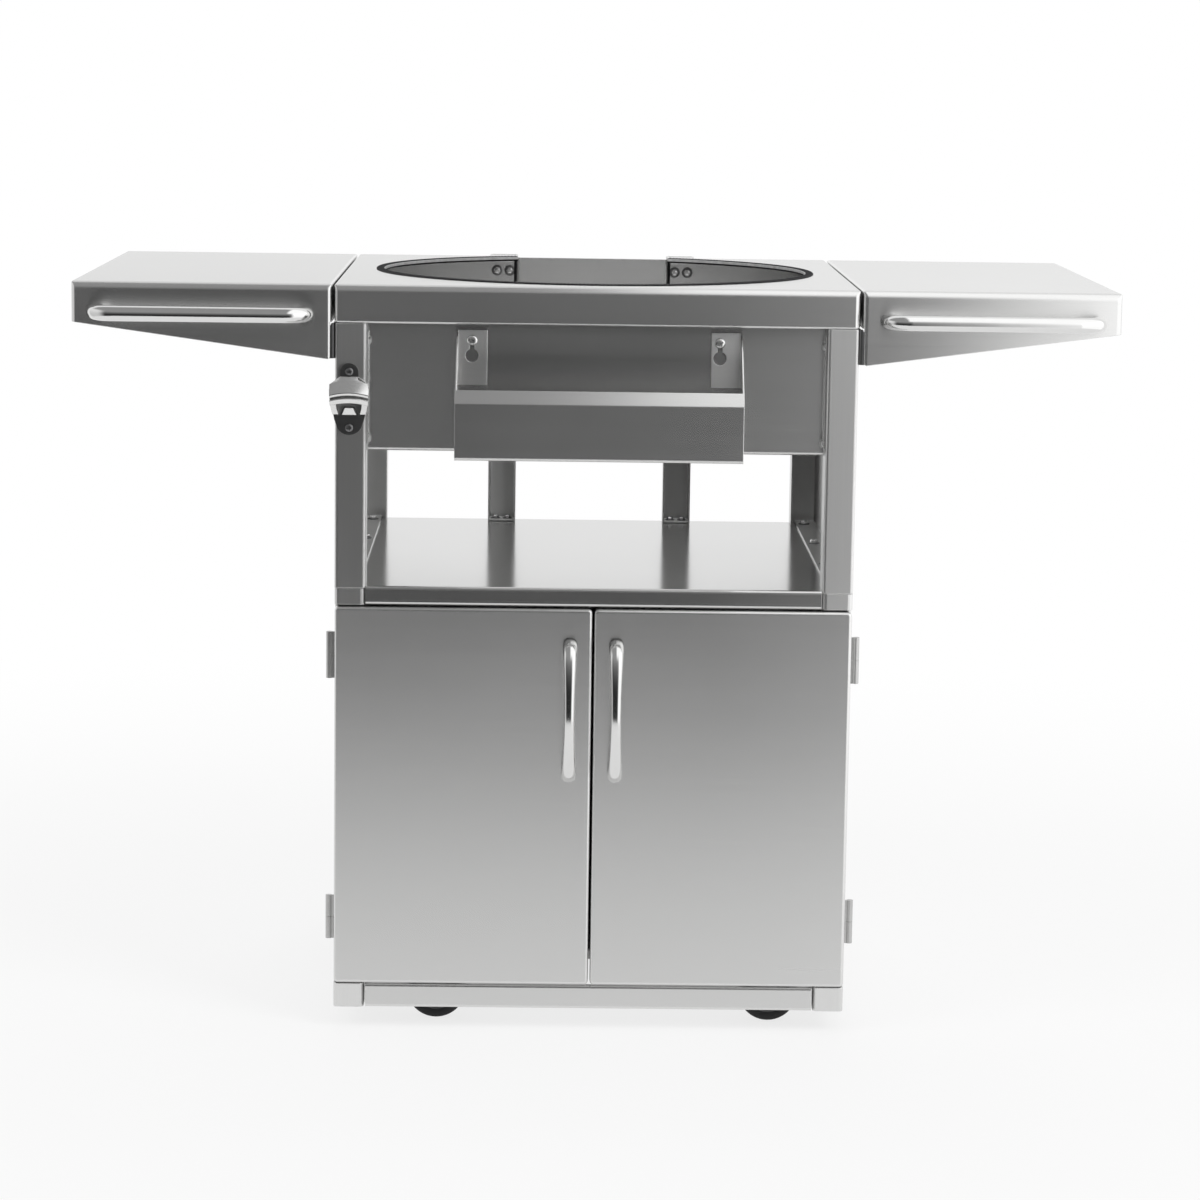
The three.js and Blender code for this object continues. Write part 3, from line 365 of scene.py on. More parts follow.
def brushed_steel(name, base, roughness, grain="level", streak=1.0, smear=0.8, fold=0.0013,
                  rough_painted_light_above=None, dull_front=0.0):
    material, tree = empty_material(name)
    true_normal = add_node(tree, "NewGeometry").outputs["True Normal"]
    facing = add_node(tree, "SeparateXYZ", {0: true_normal}).outputs
    faces_side = maths(tree, "GREATER_THAN", maths(tree, "ABSOLUTE", facing["X"]), 0.7)
    fine = grained(tree, grain, faces_side, 1700, 110)
    broad = grained(tree, grain, faces_side, 240, 120)
    cloud = noise(tree, 4.5, 3.0)
    rounded, edge = worn_edge_and_highlight(tree, fold, 6, 2.2)

    tone = maths(tree, "ADD", between(tree, fine, -0.035 * streak, 0.035 * streak),
                 between(tree, broad, 0.98, 1.02))
    tone = maths(tree, "ADD", tone, between(tree, cloud, -0.02, 0.02))
    # Painted highlight: the colour is brightened along folds and cut edges; the roughness drop
    # below is wear.
    tone = maths(tree, "MULTIPLY_ADD", edge, 0.22, tone)
    rough = maths(tree, "ADD", between(tree, broad, roughness - 0.012, roughness + 0.012),
                  between(tree, cloud, -0.015, 0.02))
    rough = maths(tree, "MULTIPLY_ADD", edge, -0.1, rough)
    # Painted reflection: above this height the front faces are rougher and their colour lighter.
    if rough_painted_light_above:
        height = add_node(tree, "SeparateXYZ", {0: object_place(tree)}).outputs["Z"]
        rough_painted_light = maths(tree, "GREATER_THAN", height, rough_painted_light_above)
        rough_painted_light = maths(tree, "MULTIPLY", rough_painted_light, maths(tree, "LESS_THAN", facing["Y"], -0.99))
        tone = maths(tree, "MULTIPLY_ADD", rough_painted_light, 0.3, tone)
        rough = maths(tree, "MULTIPLY_ADD", rough_painted_light, 0.13, rough)
    if dull_front:
        faces_front = maths(tree, "LESS_THAN", facing["Y"], -0.7)
        rough = maths(tree, "MULTIPLY_ADD", faces_front, dull_front, rough)

    return close_finish(material, base, tone, {
        "Roughness": rough,
        "Metallic": 1.0,
        "Anisotropic": maths(tree, "MULTIPLY_ADD", faces_side, -0.6 * smear, smear),
        "Normal": bumped(tree, 0.06 * streak, 0.0001, fine, Normal=rounded),
        "Tangent": smear_direction(tree, grain, true_normal),
    })


steel = (0.71, 0.71, 0.705)
rack_lip_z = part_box("rack")[0].z + 0.0855
sheet_steel = brushed_steel("brushed_sheet_steel", steel, 0.26)
post_steel = brushed_steel("brushed_post_steel", steel, 0.34, grain="upright")
shelf_steel = brushed_steel("brushed_shelf_steel", (0.62, 0.62, 0.615), 0.17, streak=0.35,
                            smear=0.5, fold=0.0006, dull_front=0.055)
rack_steel = brushed_steel("brushed_rack_steel", steel, 0.26, rough_painted_light_above=rack_lip_z)
# Painted shade: the inner sheets take a darker, rougher copy of the sheet steel; the darker colour
# stands for shade inside the cabinet.
inner_sheet_painted_shade = brushed_steel("painted_shade_inside_steel", (0.50, 0.50, 0.495), 0.38, streak=0.6, smear=0.4)
print("brushed finishes:", sheet_steel.name, "and four more")

# %% [markdown]
# Polished stainless, for the towel bars and door handles: the same steel with its scratches
# buffed out. A plain mirror would be the quick way, but it looks too perfect, so the recipe
# adds a faint haze from the polishing wheel, and small soft waves, because a hand-polished
# bar is never quite true.

# %% Polished steel
material, tree = empty_material("polished_steel")
haze = noise(tree, 90.0, 3.0)
wave = noise(tree, 22.0, 1.0)
bar_steel = close_finish(material, (0.72, 0.72, 0.715), between(tree, haze, 0.97, 1.03), {
    "Metallic": 1.0,
    "Roughness": between(tree, haze, 0.09, 0.17),
    "Normal": bumped(tree, 0.08, 0.002, wave),
})
print("polished", bar_steel.name)

# %% [markdown]
# Plated steel, for hinges, casters, screws and the cast opener. It has no grain: barrel plating
# leaves a satin skin with small spots, rubbed smoother at raised edges, where the colour is
# painted brighter as a highlight. Real plating could be scanned, but two sizes of noise look
# the same at this distance and fit any piece.

# %% Plated steel
def plated_steel(name, base, roughness, grit):
    material, tree = empty_material(name)
    spots = noise(tree, 320.0, 4.0)
    patch = noise(tree, 35.0, 2.0)
    rounded, edge = worn_edge_and_highlight(tree, 0.0006, 4, 2.0)
    tone = maths(tree, "ADD", between(tree, spots, -0.06, 0.06), between(tree, patch, 0.93, 1.07))
    satin = between(tree, spots, roughness - 0.06, roughness + 0.06)
    # Painted highlight: the colour is brightened along raised edges, which are also smoother as
    # wear.
    return close_finish(material, base, maths(tree, "MULTIPLY_ADD", edge, 0.3, tone), {
        "Metallic": 1.0,
        "Roughness": maths(tree, "MULTIPLY_ADD", edge, -0.1, satin),
        "Normal": bumped(tree, grit, 0.0002, spots, Normal=rounded),
    })


zinc_steel = plated_steel("zinc_steel", (0.52, 0.52, 0.515), 0.36, 0.15)
cast_steel = plated_steel("cast_steel", (0.74, 0.74, 0.735), 0.22, 0.04)
# Painted shade: this dark copy darkens the shelf brackets in their slot, the opener's plate and
# screws and the bolt flanges.
painted_shade_dark_steel = plated_steel("painted_shade_dark_steel", (0.20, 0.20, 0.202), 0.34, 0.10)
print("plated finishes:", zinc_steel.name, "and two more")

# %% [markdown]
# Rubber and moulded plastic, for the tyres, the edge trim, the hubs and the magnet catches.
# Their dull sheen is broken by dust and scuffs. Plain black would read as a hole, so a broad
# noise changes tone and sheen together, and fine pores give the surface its tooth.

# %% Rubber and plastic
def rubber(name, base, roughness, scuff_scale, grit, shine=0.4):
    material, tree = empty_material(name)
    scuff = noise(tree, scuff_scale, 5.0)
    pores = noise(tree, 900.0, 2.0)
    tone = maths(tree, "ADD", between(tree, scuff, 0.55, 1.6), between(tree, pores, -0.1, 0.1))
    return close_finish(material, base, tone, {
        "Roughness": between(tree, scuff, roughness - 0.1, roughness + 0.12),
        "Normal": bumped(tree, grit, 0.0003, pores),
        "Specular IOR Level": shine,
    })


tyre_rubber = rubber("tyre_rubber", (0.022, 0.022, 0.023), 0.62, 60.0, 0.3)
trim_rubber = rubber("trim_rubber", (0.012, 0.012, 0.013), 0.62, 160.0, 0.05, shine=0.15)
# Painted highlight: the pale band's colour stands in for the sheen on the trim's top.
trim_band = rubber("trim_band", (0.40, 0.40, 0.40), 0.35, 160.0, 0.1)
catch_plastic = rubber("catch_plastic", (0.03, 0.03, 0.031), 0.45, 90.0, 0.1)
hub_plastic = rubber("hub_plastic", (0.16, 0.16, 0.163), 0.5, 70.0, 0.1)
print("dull finishes:", tyre_rubber.name, "and four more")

# %% [markdown]
# Every solid that stays in view gets its finish. Each could be dressed by hand, but the record
# already names a slot for it, so the slot decides, and a short list names the families that
# differ: long folded pieces are brushed upright, the inner sheets are rougher and painted
# darker as shade, the mid shelf is glossier and the shelf brackets are painted dark as shade.

# %% Finishes on the solids
finish_of_slot = {
    "brushed_sheet": sheet_steel,
    "polished_bar": bar_steel,
    "plated_steel": zinc_steel,
    "edge_trim": trim_rubber,
    "caster_tyre": tyre_rubber,
    "magnet_catch": catch_plastic,
}
# Painted shade: the inner sheets and the shelf brackets get darker finishes for the shade they
# stand in.
finish_of_family = {
    "side_wall": post_steel, "upright": post_steel, "cabinet_side": post_steel,
    "cabinet_floor": inner_sheet_painted_shade, "cabinet_back": inner_sheet_painted_shade, "door_liner": inner_sheet_painted_shade,
    "mid_shelf": shelf_steel, "rack": rack_steel, "shelf_bracket": painted_shade_dark_steel,
}

for name, node in nodes.items():
    family = name.removesuffix("_left").removesuffix("_right")
    for holder in node.material_slots:
        slot = holder.material.name.split(".")[0]
        holder.material = finish_of_family.get(family, finish_of_slot[slot])
print("finished", len(nodes), "solids")

# %% [markdown]
# From here on, small pieces take the place of solids whose folds, curves or castings are
# coarser than on the real table. They could be modelled by hand and saved, but code keeps them
# to the outside sizes of those solids. This helper turns a mesh into such a piece on its body:
# smooth over the bends, sharp at the cut edges, flat on the sheets.

# %% Helpers for pieces
def mesh_piece(name, mesh, finish, body="table", slot="plated_steel", stands_for=(), crease=32):
    mesh.materials.clear()
    mesh.materials.append(finish)
    mesh.polygons.foreach_set("use_smooth", [True] * len(mesh.polygons))
    mesh.set_sharp_from_angle(angle=radians(crease))
    piece = add_object(name, mesh)
    even = piece.modifiers.new("even_shading", "WEIGHTED_NORMAL")
    even.keep_sharp = True
    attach(piece, body)
    if stands_for:
        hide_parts(*stands_for)


def make_piece(name, bm, *details, **more):
    bmesh.ops.recalc_face_normals(bm, faces=bm.faces)
    mesh_piece(name, mesh_from(name, bm), *details, **more)


hands = (("left", -1), ("right", 1))
print("hands", len(hands))

# %% [markdown]
# Almost every small form here is a stack of rings joined by strips of faces: a bar, a folded
# tray, a screw head. Extrude and bevel tools could make them, but rings placed by a formula
# give exactly the measured shape. A ring may be a single point, where a form closes. A straight
# prism is the simplest case, with one ring at each end.

# %% Rings and prisms
def skin(bm, outlines, ends="capped"):
    rings = [[bm.verts.new(point) for point in outline] for outline in outlines]
    if ends == "joined":
        rings.append(rings[0])
    for first, second in zip(rings, rings[1:]):
        count = max(len(first), len(second))
        for k in range(count):
            after = (k + 1) % count
            around = ((first, k), (first, after), (second, after), (second, k))
            corners = [ring[i % len(ring)] for ring, i in around]
            bm.faces.new(list(dict.fromkeys(corners)))
    if ends == "capped":
        bm.faces.new(rings[0])
        bm.faces.new(list(reversed(rings[-1])))


def prism(bm, outline, low, high, place):
    skin(bm, [[place(a, b, end) for a, b in outline] for end in (low, high)])


def rectangle(a0, a1, b0, b1):
    return [(a0, b0), (a1, b0), (a1, b1), (a0, b1)]


def quarter_turn(steps):
    return [pi / 2 * k / steps for k in range(steps + 1)]


def ring_points(x, y, radius, count):
    angles = [tau * k / count for k in range(count)]
    return [(x + radius * cos(a), y + radius * sin(a)) for a in angles]


print("points on a quarter turn of 8 steps", len(quarter_turn(8)))

# %% [markdown]
# Holes, mouths and slots are sawn out of a blank, as on the bench. The cuts could be planned
# into the mesh, but a boolean modifier keeps the blank simple, and its exact solver leaves
# clean edges on thin sheet. The result is read back as a plain mesh. The last helper files the
# sharp edges off a small casting.

# %% Sawing and filing
def solid_object(name, bm):
    bmesh.ops.recalc_face_normals(bm, faces=bm.faces)
    return add_object(name, mesh_from(name, bm))


def cut_away(bm, cutters):
    blank = solid_object("blank", bm)
    tools = [solid_object("tool", cutter) for cutter in cutters]
    for tool in tools:
        step = blank.modifiers.new("cut", "BOOLEAN")
        step.operation = "DIFFERENCE"
        step.solver = "EXACT"
        step.object = tool
    seen_by = bpy.context.evaluated_depsgraph_get()
    mesh = bpy.data.meshes.new_from_object(blank.evaluated_get(seen_by))
    for thing in [blank, *tools]:
        bpy.data.objects.remove(thing)
    return mesh


def file_edges(bm, width):
    bmesh.ops.recalc_face_normals(bm, faces=bm.faces)
    bmesh.ops.bevel(bm, geom=bm.edges[:], offset=width, segments=2, affect="EDGES", profile=0.5)


# %% [markdown]
# The tabletop, side shelves and door skins are trays: one sheet with its edges folded over a
# soft bend. A bevelled cube would round the corners too, but these are mitred and welded. So
# the tray is a stack of rectangular rings, down the outside of the fold and back up the inside.
# A profile lists each ring's inset at the sides, its inset at the front and rear, its depth,
# and if it follows a slanting edge.

# %% Folded trays
def inset_at(depth, bend, skin_depth=0.0):
    reach = max(bend - depth, 0.0)
    return bend - sqrt(max((bend - skin_depth) ** 2 - reach ** 2, 0.0))


def fold_profile(bend, drop, sheet, hem=0.0, hem_bend=0.003, side_bend=None):
    side_bend = side_bend or bend
    quarter = quarter_turn(10)
    outer, inner = [], []
    for a in quarter:
        depth = bend - bend * cos(a)
        outer.append((inset_at(depth, side_bend), bend - bend * sin(a), depth, 0))
        depth = bend - (bend - sheet) * cos(a)
        inset = bend - (bend - sheet) * sin(a)
        inner.append((inset_at(depth, side_bend, sheet), inset, depth, 0))
    if hem == 0.0:
        return outer + [(0, 0, drop, 1), (sheet, sheet, drop, 1)] + inner[::-1]
    turn = drop - hem_bend
    tight = hem_bend - sheet
    low = [(hem_bend - hem_bend * cos(a), turn + hem_bend * sin(a)) for a in quarter]
    back = [(hem_bend - tight * cos(a), turn + tight * sin(a)) for a in quarter]
    under = low + [(hem, drop), (hem, drop - sheet)] + back[::-1]
    return outer + [(inset, inset, depth, 1) for inset, depth in under] + inner[::-1]


def round_rectangle(a0, a1, b0, b1, radius, steps=5):
    left, right = a0 + radius, a1 - radius
    near, far = b0 + radius, b1 - radius
    points = []
    for start, (a, b) in enumerate(((right, far), (left, far), (left, near), (right, near))):
        for k in range(steps + 1):
            angle = pi / 2 * (start + k / steps)
            points.append((a + radius * cos(angle), b + radius * sin(angle)))
    return points


def tray(bm, across_span, along_span, profile, place, corner, slant=lambda a: 0.0):
    rings = []
    for side_inset, inset, depth, follows in profile:
        a0, a1 = across_span[0] + side_inset, across_span[1] - side_inset
        b0, b1 = along_span[0] + inset, along_span[1] - inset
        radius = max(corner - max(inset, side_inset), 0.0003)
        rings.append([place(a, b, depth + follows * slant(a))
                      for a, b in round_rectangle(a0, a1, b0, b1, radius)])
    skin(bm, rings)


print("rings in a plain fold", len(fold_profile(0.009, 0.05, 0.002)))

# %% [markdown]
# The tabletop is the largest fold, with a 9 mm bend at the front and rear that draws the long
# soft highlight over the fascia, and a tight one beside the shelves, where only a dark slot
# shows. The cut-out and the notch for the cooker's hinge could be part of the rings, but they
# are sawn out last, with many sides so that the rim stays round.

# %% Tabletop
sheet = 0.002
soft_bend = 0.009
side_bend = 0.0026
soft_corner = 0.0065
hem = 0.009
cutout_radius = 0.274
notch_half = 0.1035
notch_depth = 0.0023
skirt_slot_half, skirt_reach = 0.107, 0.0061
skirt_slot = (0.045, 0.0019)
saw_reach, past = 0.006, 0.01

low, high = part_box("tabletop")
middle_y = (low.y + high.y) / 2
cutout_y = middle_y + 0.008
top_z = high.z


def on_table(x, y, depth):
    return Vector((x, y, top_z - depth))


blank, saw, notch, slot = [bmesh.new() for _ in range(4)]
table_fold = fold_profile(soft_bend, high.z - low.z, sheet, hem=hem, side_bend=side_bend)
tray(blank, (low.x, high.x), (low.y, high.y), table_fold, on_table, soft_corner)
prism(saw, ring_points(0, cutout_y, cutout_radius, 180), saw_reach, -saw_reach, on_table)
behind = high.y + past
notch_gap = rectangle(-notch_half, notch_half, cutout_y, behind)
prism(notch, notch_gap, notch_depth, -saw_reach, on_table)
skirt_gap = rectangle(-skirt_slot_half, skirt_slot_half, high.y - skirt_reach, behind)
prism(slot, skirt_gap, *skirt_slot, on_table)
mesh_piece("tabletop_sheet", cut_away(blank, [saw, notch, slot]), sheet_steel, "table",
           "brushed_sheet", ["tabletop"])
print("tabletop", round(high.x - low.x, 3), "by", round(high.y - low.y, 3))

# %% [markdown]
# Each side shelf is such a tray with a slanted apron, deep at the pivot and shallow at the tip.
# A straight tray could be bent with a lattice, but here the profile's last rings simply follow
# the slant. The inner wall is only a flange, so its lower part is sawn away, and the lower
# inner corner is rounded so that it clears the post as the shelf swings down.

# %% Side shelves
root_drop = 0.092
tip_drop = 0.0495
flange = 0.046
clearing = 0.008

for hand, side in hands:
    low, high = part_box(f"side_shelf_{hand}")
    inner = min(abs(low.x), abs(high.x))
    outer = max(abs(low.x), abs(high.x))

    def on_shelf(x, y, depth):
        return Vector((side * x, y, top_z - depth))

    def apron_slant(x):
        return (root_drop - tip_drop) * (outer - x) / (outer - inner)

    blank, mouth, corner = [bmesh.new() for _ in range(3)]
    shelf_fold = fold_profile(soft_bend, tip_drop, sheet, side_bend=side_bend)
    tray(blank, (inner, outer), (low.y, high.y), shelf_fold, on_shelf, soft_corner, apron_slant)
    opening = rectangle(inner - saw_reach, inner + clearing, low.y + sheet, high.y - sheet)
    prism(mouth, opening, 0.1, flange, on_shelf)
    start, lift = inner + clearing, root_drop - clearing
    curve = [(start - clearing * cos(a), lift + clearing * sin(a)) for a in quarter_turn(6)]
    outside = [(start, root_drop + past), (inner - past, root_drop + past), (inner - past, lift)]
    prism(corner, curve + outside, low.y - past, high.y + past,
          lambda x, depth, y: on_shelf(x, y, depth))
    mesh_piece(f"side_shelf_sheet_{hand}", cut_away(blank, [mouth, corner]), sheet_steel,
               f"{hand}_side_shelf", "brushed_sheet", [f"side_shelf_{hand}"])
print("side shelves", round(outer - inner, 4), "wide")

# %% [markdown]
# The door skins are shallow trays that face forward, with a tighter bend. They could stay
# plain solids, but the light line along a folded edge tells a pressed door from a plate, so
# the same tray is used, stood upright by its placing function.

# %% Door skins
door_bend, door_sheet, door_corner = 0.004, 0.0015, 0.005

for hand, _ in hands:
    low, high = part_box(f"door_skin_{hand}")
    front = low.y

    def on_door(x, z, depth):
        return Vector((x, front + depth, z))

    panel = bmesh.new()
    tray(panel, (low.x, high.x), (low.z, high.z),
         fold_profile(door_bend, high.y - low.y, door_sheet), on_door, door_corner)
    make_piece(f"door_skin_sheet_{hand}", panel, sheet_steel, f"{hand}_door", "brushed_sheet",
               [f"door_skin_{hand}"])
print("door skins", round(high.x - low.x, 4), "wide")

# %% [markdown]
# Bars are swept: a ring of points is carried along a line. A Blender curve with a bevel makes
# a bar in one step, but with one section from end to end. This sweep asks for the section at
# each step, so the same few lines also make a handle that swells on its way.

# %% Sweeping a bar
def sweep(bm, path, side, section):
    rings = []
    last = len(path) - 1
    for i, point in enumerate(path):
        ahead = path[min(i + 1, last)] - path[max(i - 1, 0)]
        out = side.cross(ahead).normalized()
        rings.append([point + side * a + out * b for a, b in section(i)])
    skin(bm, rings)


def round_bar(radius, sides):
    return lambda i: ring_points(0, 0, radius, sides)


print("sweep ready, for bars, handles and hems")

# %% [markdown]
# The towel bar is a bent tube with long elbows, welded to the apron from behind. Straight tubes
# with separate corners would show seams, so the bar is one sweep. The elbow's radius comes from
# the photograph, and its bend is walked forwards at one end and backwards at the other.

# %% Towel bars
bar_radius = 0.0096
elbow = 0.027
elbow_steps = 12

for hand, _ in hands:
    low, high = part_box(f"towel_bar_{hand}")
    apron_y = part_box(f"side_shelf_{hand}")[0].y
    bar_y = low.y + bar_radius
    bar_z = (low.z + high.z) / 2
    ends = (low.x + bar_radius, high.x - bar_radius)
    bend = [(elbow - elbow * cos(a), elbow - elbow * sin(a)) for a in quarter_turn(elbow_steps)]
    path = [Vector((ends[0], apron_y, bar_z))]
    path += [Vector((ends[0] + inward, bar_y + back, bar_z)) for inward, back in bend]
    path += [Vector((ends[1] - inward, bar_y + back, bar_z)) for inward, back in reversed(bend)]
    path.append(Vector((ends[1], apron_y, bar_z)))
    bar = bmesh.new()
    sweep(bar, path, Vector((0, 0, 1)), round_bar(bar_radius, 28))
    make_piece(f"towel_bar_tube_{hand}", bar, bar_steel, f"{hand}_side_shelf", "polished_bar",
               [f"towel_bar_{hand}"], crease=60)
print("towel bars", round(ends[1] - ends[0], 3), "between the elbows")

# %% [markdown]
# The door handles are bows: narrow and thick at the waist, wide and flat where they land on
# the door. They could be sculpted from a bar, but a sweep whose section changes on the way
# keeps both handles the same. The section is an oval with slightly flattened sides.

# %% Door handles
waist_width, foot_width = 0.0060, 0.00925
waist_depth, foot_depth = 0.0046, 0.0092
bow_steps, bow_sides = 44, 24


def flattened(share):
    return copysign(abs(share) ** 0.85, share)


def bow_section(i):
    share = abs(cos(pi * i / bow_steps))
    width = waist_width + (foot_width - waist_width) * share ** 2.2
    depth = waist_depth + (foot_depth - waist_depth) * share ** 5
    circle = ring_points(0, 0, 1, bow_sides)
    return [(width * flattened(a), depth * flattened(b)) for a, b in circle]


for hand, _ in hands:
    low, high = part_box(f"door_handle_{hand}")
    middle = Vector(((low.x + high.x) / 2, high.y, (low.z + high.z) / 2))
    reach = high.y - low.y
    half_length = (high.z - low.z) / 2
    path = []
    for i in range(bow_steps + 1):
        angle = pi * i / bow_steps
        out = (reach - waist_depth) * sin(angle) ** 0.9
        path.append(middle + Vector((0, -out, -(half_length - foot_depth) * cos(angle))))
    handle = bmesh.new()
    sweep(handle, path, Vector((1, 0, 0)), bow_section)
    make_piece(f"door_handle_bow_{hand}", handle, bar_steel, f"{hand}_door", "polished_bar",
               [f"door_handle_{hand}"], crease=60)
print("handles", round(2 * half_length, 3), "long")

# %% [markdown]
# The cut edge of the round opening wears a ribbed rubber strip, pushed on from inside. Bump
# could draw the ribs, but they break the strip's outline against the pale top, so they are
# real: the strip is swept round as a U whose every second ring is thinner, which gives the
# braided look at the right size. A ribbed band lines its inner face, painted pale as a
# highlight along the rim.

# %% Edge trim
strip_radius = 0.2775
strip_start = pi / 2 + asin(notch_half / strip_radius)
strip_sweep = tau - 2 * asin(notch_half / strip_radius)
strip_steps = 640
strip_inner, strip_outer, strip_grip = 0.2724, 0.283, 0.2737
strip_low, strip_gap, strip_lift, strip_high = -0.0045, -0.0023, 0.0003, 0.0025
thin_rib = 0.5
band_inner, band_outer, band_rib = 0.27195, 0.2730, 0.2723
band_low, band_shoulder, band_high = -0.0021, 0.0008, 0.0012


def lay_round(bm, outline_at):
    rings = []
    for i in range(strip_steps + 1):
        angle = strip_start + strip_sweep * i / strip_steps
        rings.append([(r * cos(angle), cutout_y + r * sin(angle), z) for r, z in outline_at(i)])
    skin(bm, rings)


def strip_outline(i):
    share = 1.0 if i % 2 else thin_rib
    middle = (strip_inner + strip_outer) / 2
    half = (strip_outer - strip_inner) / 2
    dome = []
    for k in range(11):
        angle = pi * k / 10
        rise = (strip_high - strip_lift) * sin(angle) ** 0.7
        dome.append((middle + half * cos(angle), top_z + strip_lift + rise * share))
    under = top_z + strip_low
    return [
        (strip_inner, under + 0.0016), (strip_inner + 0.0006, under + 0.0005),
        (strip_inner + 0.0018, under), (strip_outer, under), (strip_outer, top_z + strip_gap),
        (strip_grip, top_z + strip_gap), (strip_grip, top_z + strip_lift),
    ] + dome


def band_outline(i):
    rib = band_inner if i // 2 % 2 else band_rib
    return [(rib, top_z + band_low), (rib, top_z + band_shoulder),
            (rib + 0.0004, top_z + band_high), (band_outer, top_z + band_high),
            (band_outer, top_z + band_low)]


strip, band = bmesh.new(), bmesh.new()
lay_round(strip, strip_outline)
make_piece("ribbed_edge_trim", strip, trim_rubber, "table", "edge_trim", ["cutout_trim"], crease=70)
# The pale band is a painted highlight along the rim.
lay_round(band, band_outline)
make_piece("edge_trim_highlight_band", band, trim_band, "table", "edge_trim", crease=20)
print("trim ribs", strip_steps // 2)

# %% [markdown]
# A short dark strip runs down beside the notch on either side, as painted shade in the deep
# gaps at the notch's edges. The sweep could carry on round the corner, but a strip lies flat
# on the rear face of the notch panel, so a filed prism is enough.

# %% Painted shade strips by the notch
shade_strips = bmesh.new()
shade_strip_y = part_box("notch_panel")[1].y
shade_strip_x, shade_strip_z = (0.1038, 0.1074), (top_z - 0.0385, top_z - 0.0024)
for _, side in hands:
    outline = rectangle(side * shade_strip_x[0], side * shade_strip_x[1], *shade_strip_z)
    prism(shade_strips, outline, -0.0016, 0.0, lambda x, z, out: Vector((x, shade_strip_y + out, z)))
file_edges(shade_strips, 0.0003)
# Painted shade: these black rubber strips darken the gaps beside the notch.
make_piece("notch_shade_strips", shade_strips, trim_rubber, "table", "edge_trim")
print("trim tails", round(shade_strip_z[1] - shade_strip_z[0], 4), "long")

# %% [markdown]
# The bottle opener is a small casting. Its back is a keyed plate with a screw lobe, cut through
# where the cap's rim goes. Plate and hood could be one mesh, but two pieces keep their tones
# apart: the plate is painted dark as shade, and the hood stays bright. Places are given across,
# down from the top and out from the post, and the lists are in tenths of a millimetre.

# %% Opener plate
low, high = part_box("bottle_opener")
opener_x = (low.x + high.x) / 2
opener_back = high.y
opener_top = high.z
lobe_radius, toe_radius, toe_drop = 0.0112, 0.0165, 0.0713
plate_thick = 0.0028


def on_opener(x, drop, out):
    return Vector((opener_x + x, opener_back - out, opener_top - drop))


def tenths(points):
    return [tuple(value / 10000 for value in point) for point in points]


lobe = [(lobe_radius * sin(a), lobe_radius - lobe_radius * cos(a)) for a in quarter_turn(8)]
toe = [(toe_radius * cos(a), toe_drop + toe_radius * sin(a)) for a in quarter_turn(8)[1:]]
flank = tenths([(112, 215), (240, 262), (236, 400), (215, 560), (192, 640), (182, 690)])
right = lobe + flank + toe
left = [(-x, drop) for x, drop in reversed(right[1:-1])]
mouth_right = tenths([(120, 485), (145, 500), (150, 560), (140, 640), (115, 640), (70, 545)])
mouth_left = [(-x, drop) for x, drop in reversed(mouth_right)]

plate, mouth = bmesh.new(), bmesh.new()
prism(plate, right + left, 0.0, plate_thick, on_opener)
prism(mouth, mouth_left[2:] + mouth_right + mouth_left[:2], -0.004, 0.010, on_opener)
# The plate's dark finish is painted shade.
mesh_piece("opener_plate", cut_away(plate, [mouth]), painted_shade_dark_steel, stands_for=["bottle_opener"],
           crease=40)
print("opener", round(high.z - low.z, 4), "tall")

# %% [markdown]
# The hood with its double lip stands forward of the plate. A surface drawn over curves would
# do, but a grid is easier to check against the photograph: one list holds the lips' outline
# seen from the side, over the outside and back inside, each column repeats it, and the columns
# are arched downwards and bowed back towards the sides.

# %% Opener hood
hood_outer = tenths([
    (158, 26), (160, 44), (168, 62), (198, 78), (212, 80), (236, 94), (290, 134), (334, 168),
    (344, 175), (354, 177), (362, 174), (384, 162), (388, 140), (392, 126), (403, 125),
    (409, 140), (411, 172), (416, 182), (424, 185), (434, 181), (468, 162), (478, 150),
])
hood_inner = tenths([(478, 132), (430, 112), (340, 90), (270, 52), (250, 26)])
hood_columns = 19
neck_end, shoulder_end = 0.0205, 0.0242


def hood_half(drop):
    if drop < neck_end:
        return 0.0104 + 0.0008 * (drop - 0.0158) / 0.0047
    if drop < shoulder_end:
        return 0.0112 + 0.0132 * (drop - neck_end) / 0.0037
    return 0.0244 - 0.0012 * (drop - shoulder_end) / 0.0236


hood = bmesh.new()
columns = []
for i in range(hood_columns):
    share = 2 * i / (hood_columns - 1) - 1
    bow = 1 - 0.12 * share * share
    column = []
    for drop, out in hood_outer + hood_inner:
        arch = 0.0034 * min(1, max(0, (drop - neck_end) / 0.012))
        across = hood_half(drop) * share
        column.append(on_opener(across, drop + arch * share * share, out * bow))
    columns.append(column)
skin(hood, columns)
print("hood", len(hood.faces), "faces")

# %% [markdown]
# Two legs carry the hood, and a stepped tooth between them catches the cap. They could be
# boxes, but on the casting they taper, so each is a short stack of four-cornered rings with
# filed edges: a leg from the hood down to the plate, the tooth from the plate out to its face.

# %% Opener legs and tooth
leg_rings = [tenths(ring) for ring in (
    [(156, 470, 24), (230, 490, 24), (230, 490, 132), (156, 470, 152)],
    [(150, 550, 24), (221, 560, 24), (221, 560, 82), (150, 550, 96)],
    [(128, 628, 24), (205, 628, 24), (205, 628, 40), (128, 628, 48)],
)]
tooth_sides = [tenths(pair) for pair in (
    [(96, 636, 26), (64, 532, 26)],
    [(88, 630, 46), (64, 570, 62)],
    [(60, 572, 80), (52, 536, 90)],
)]

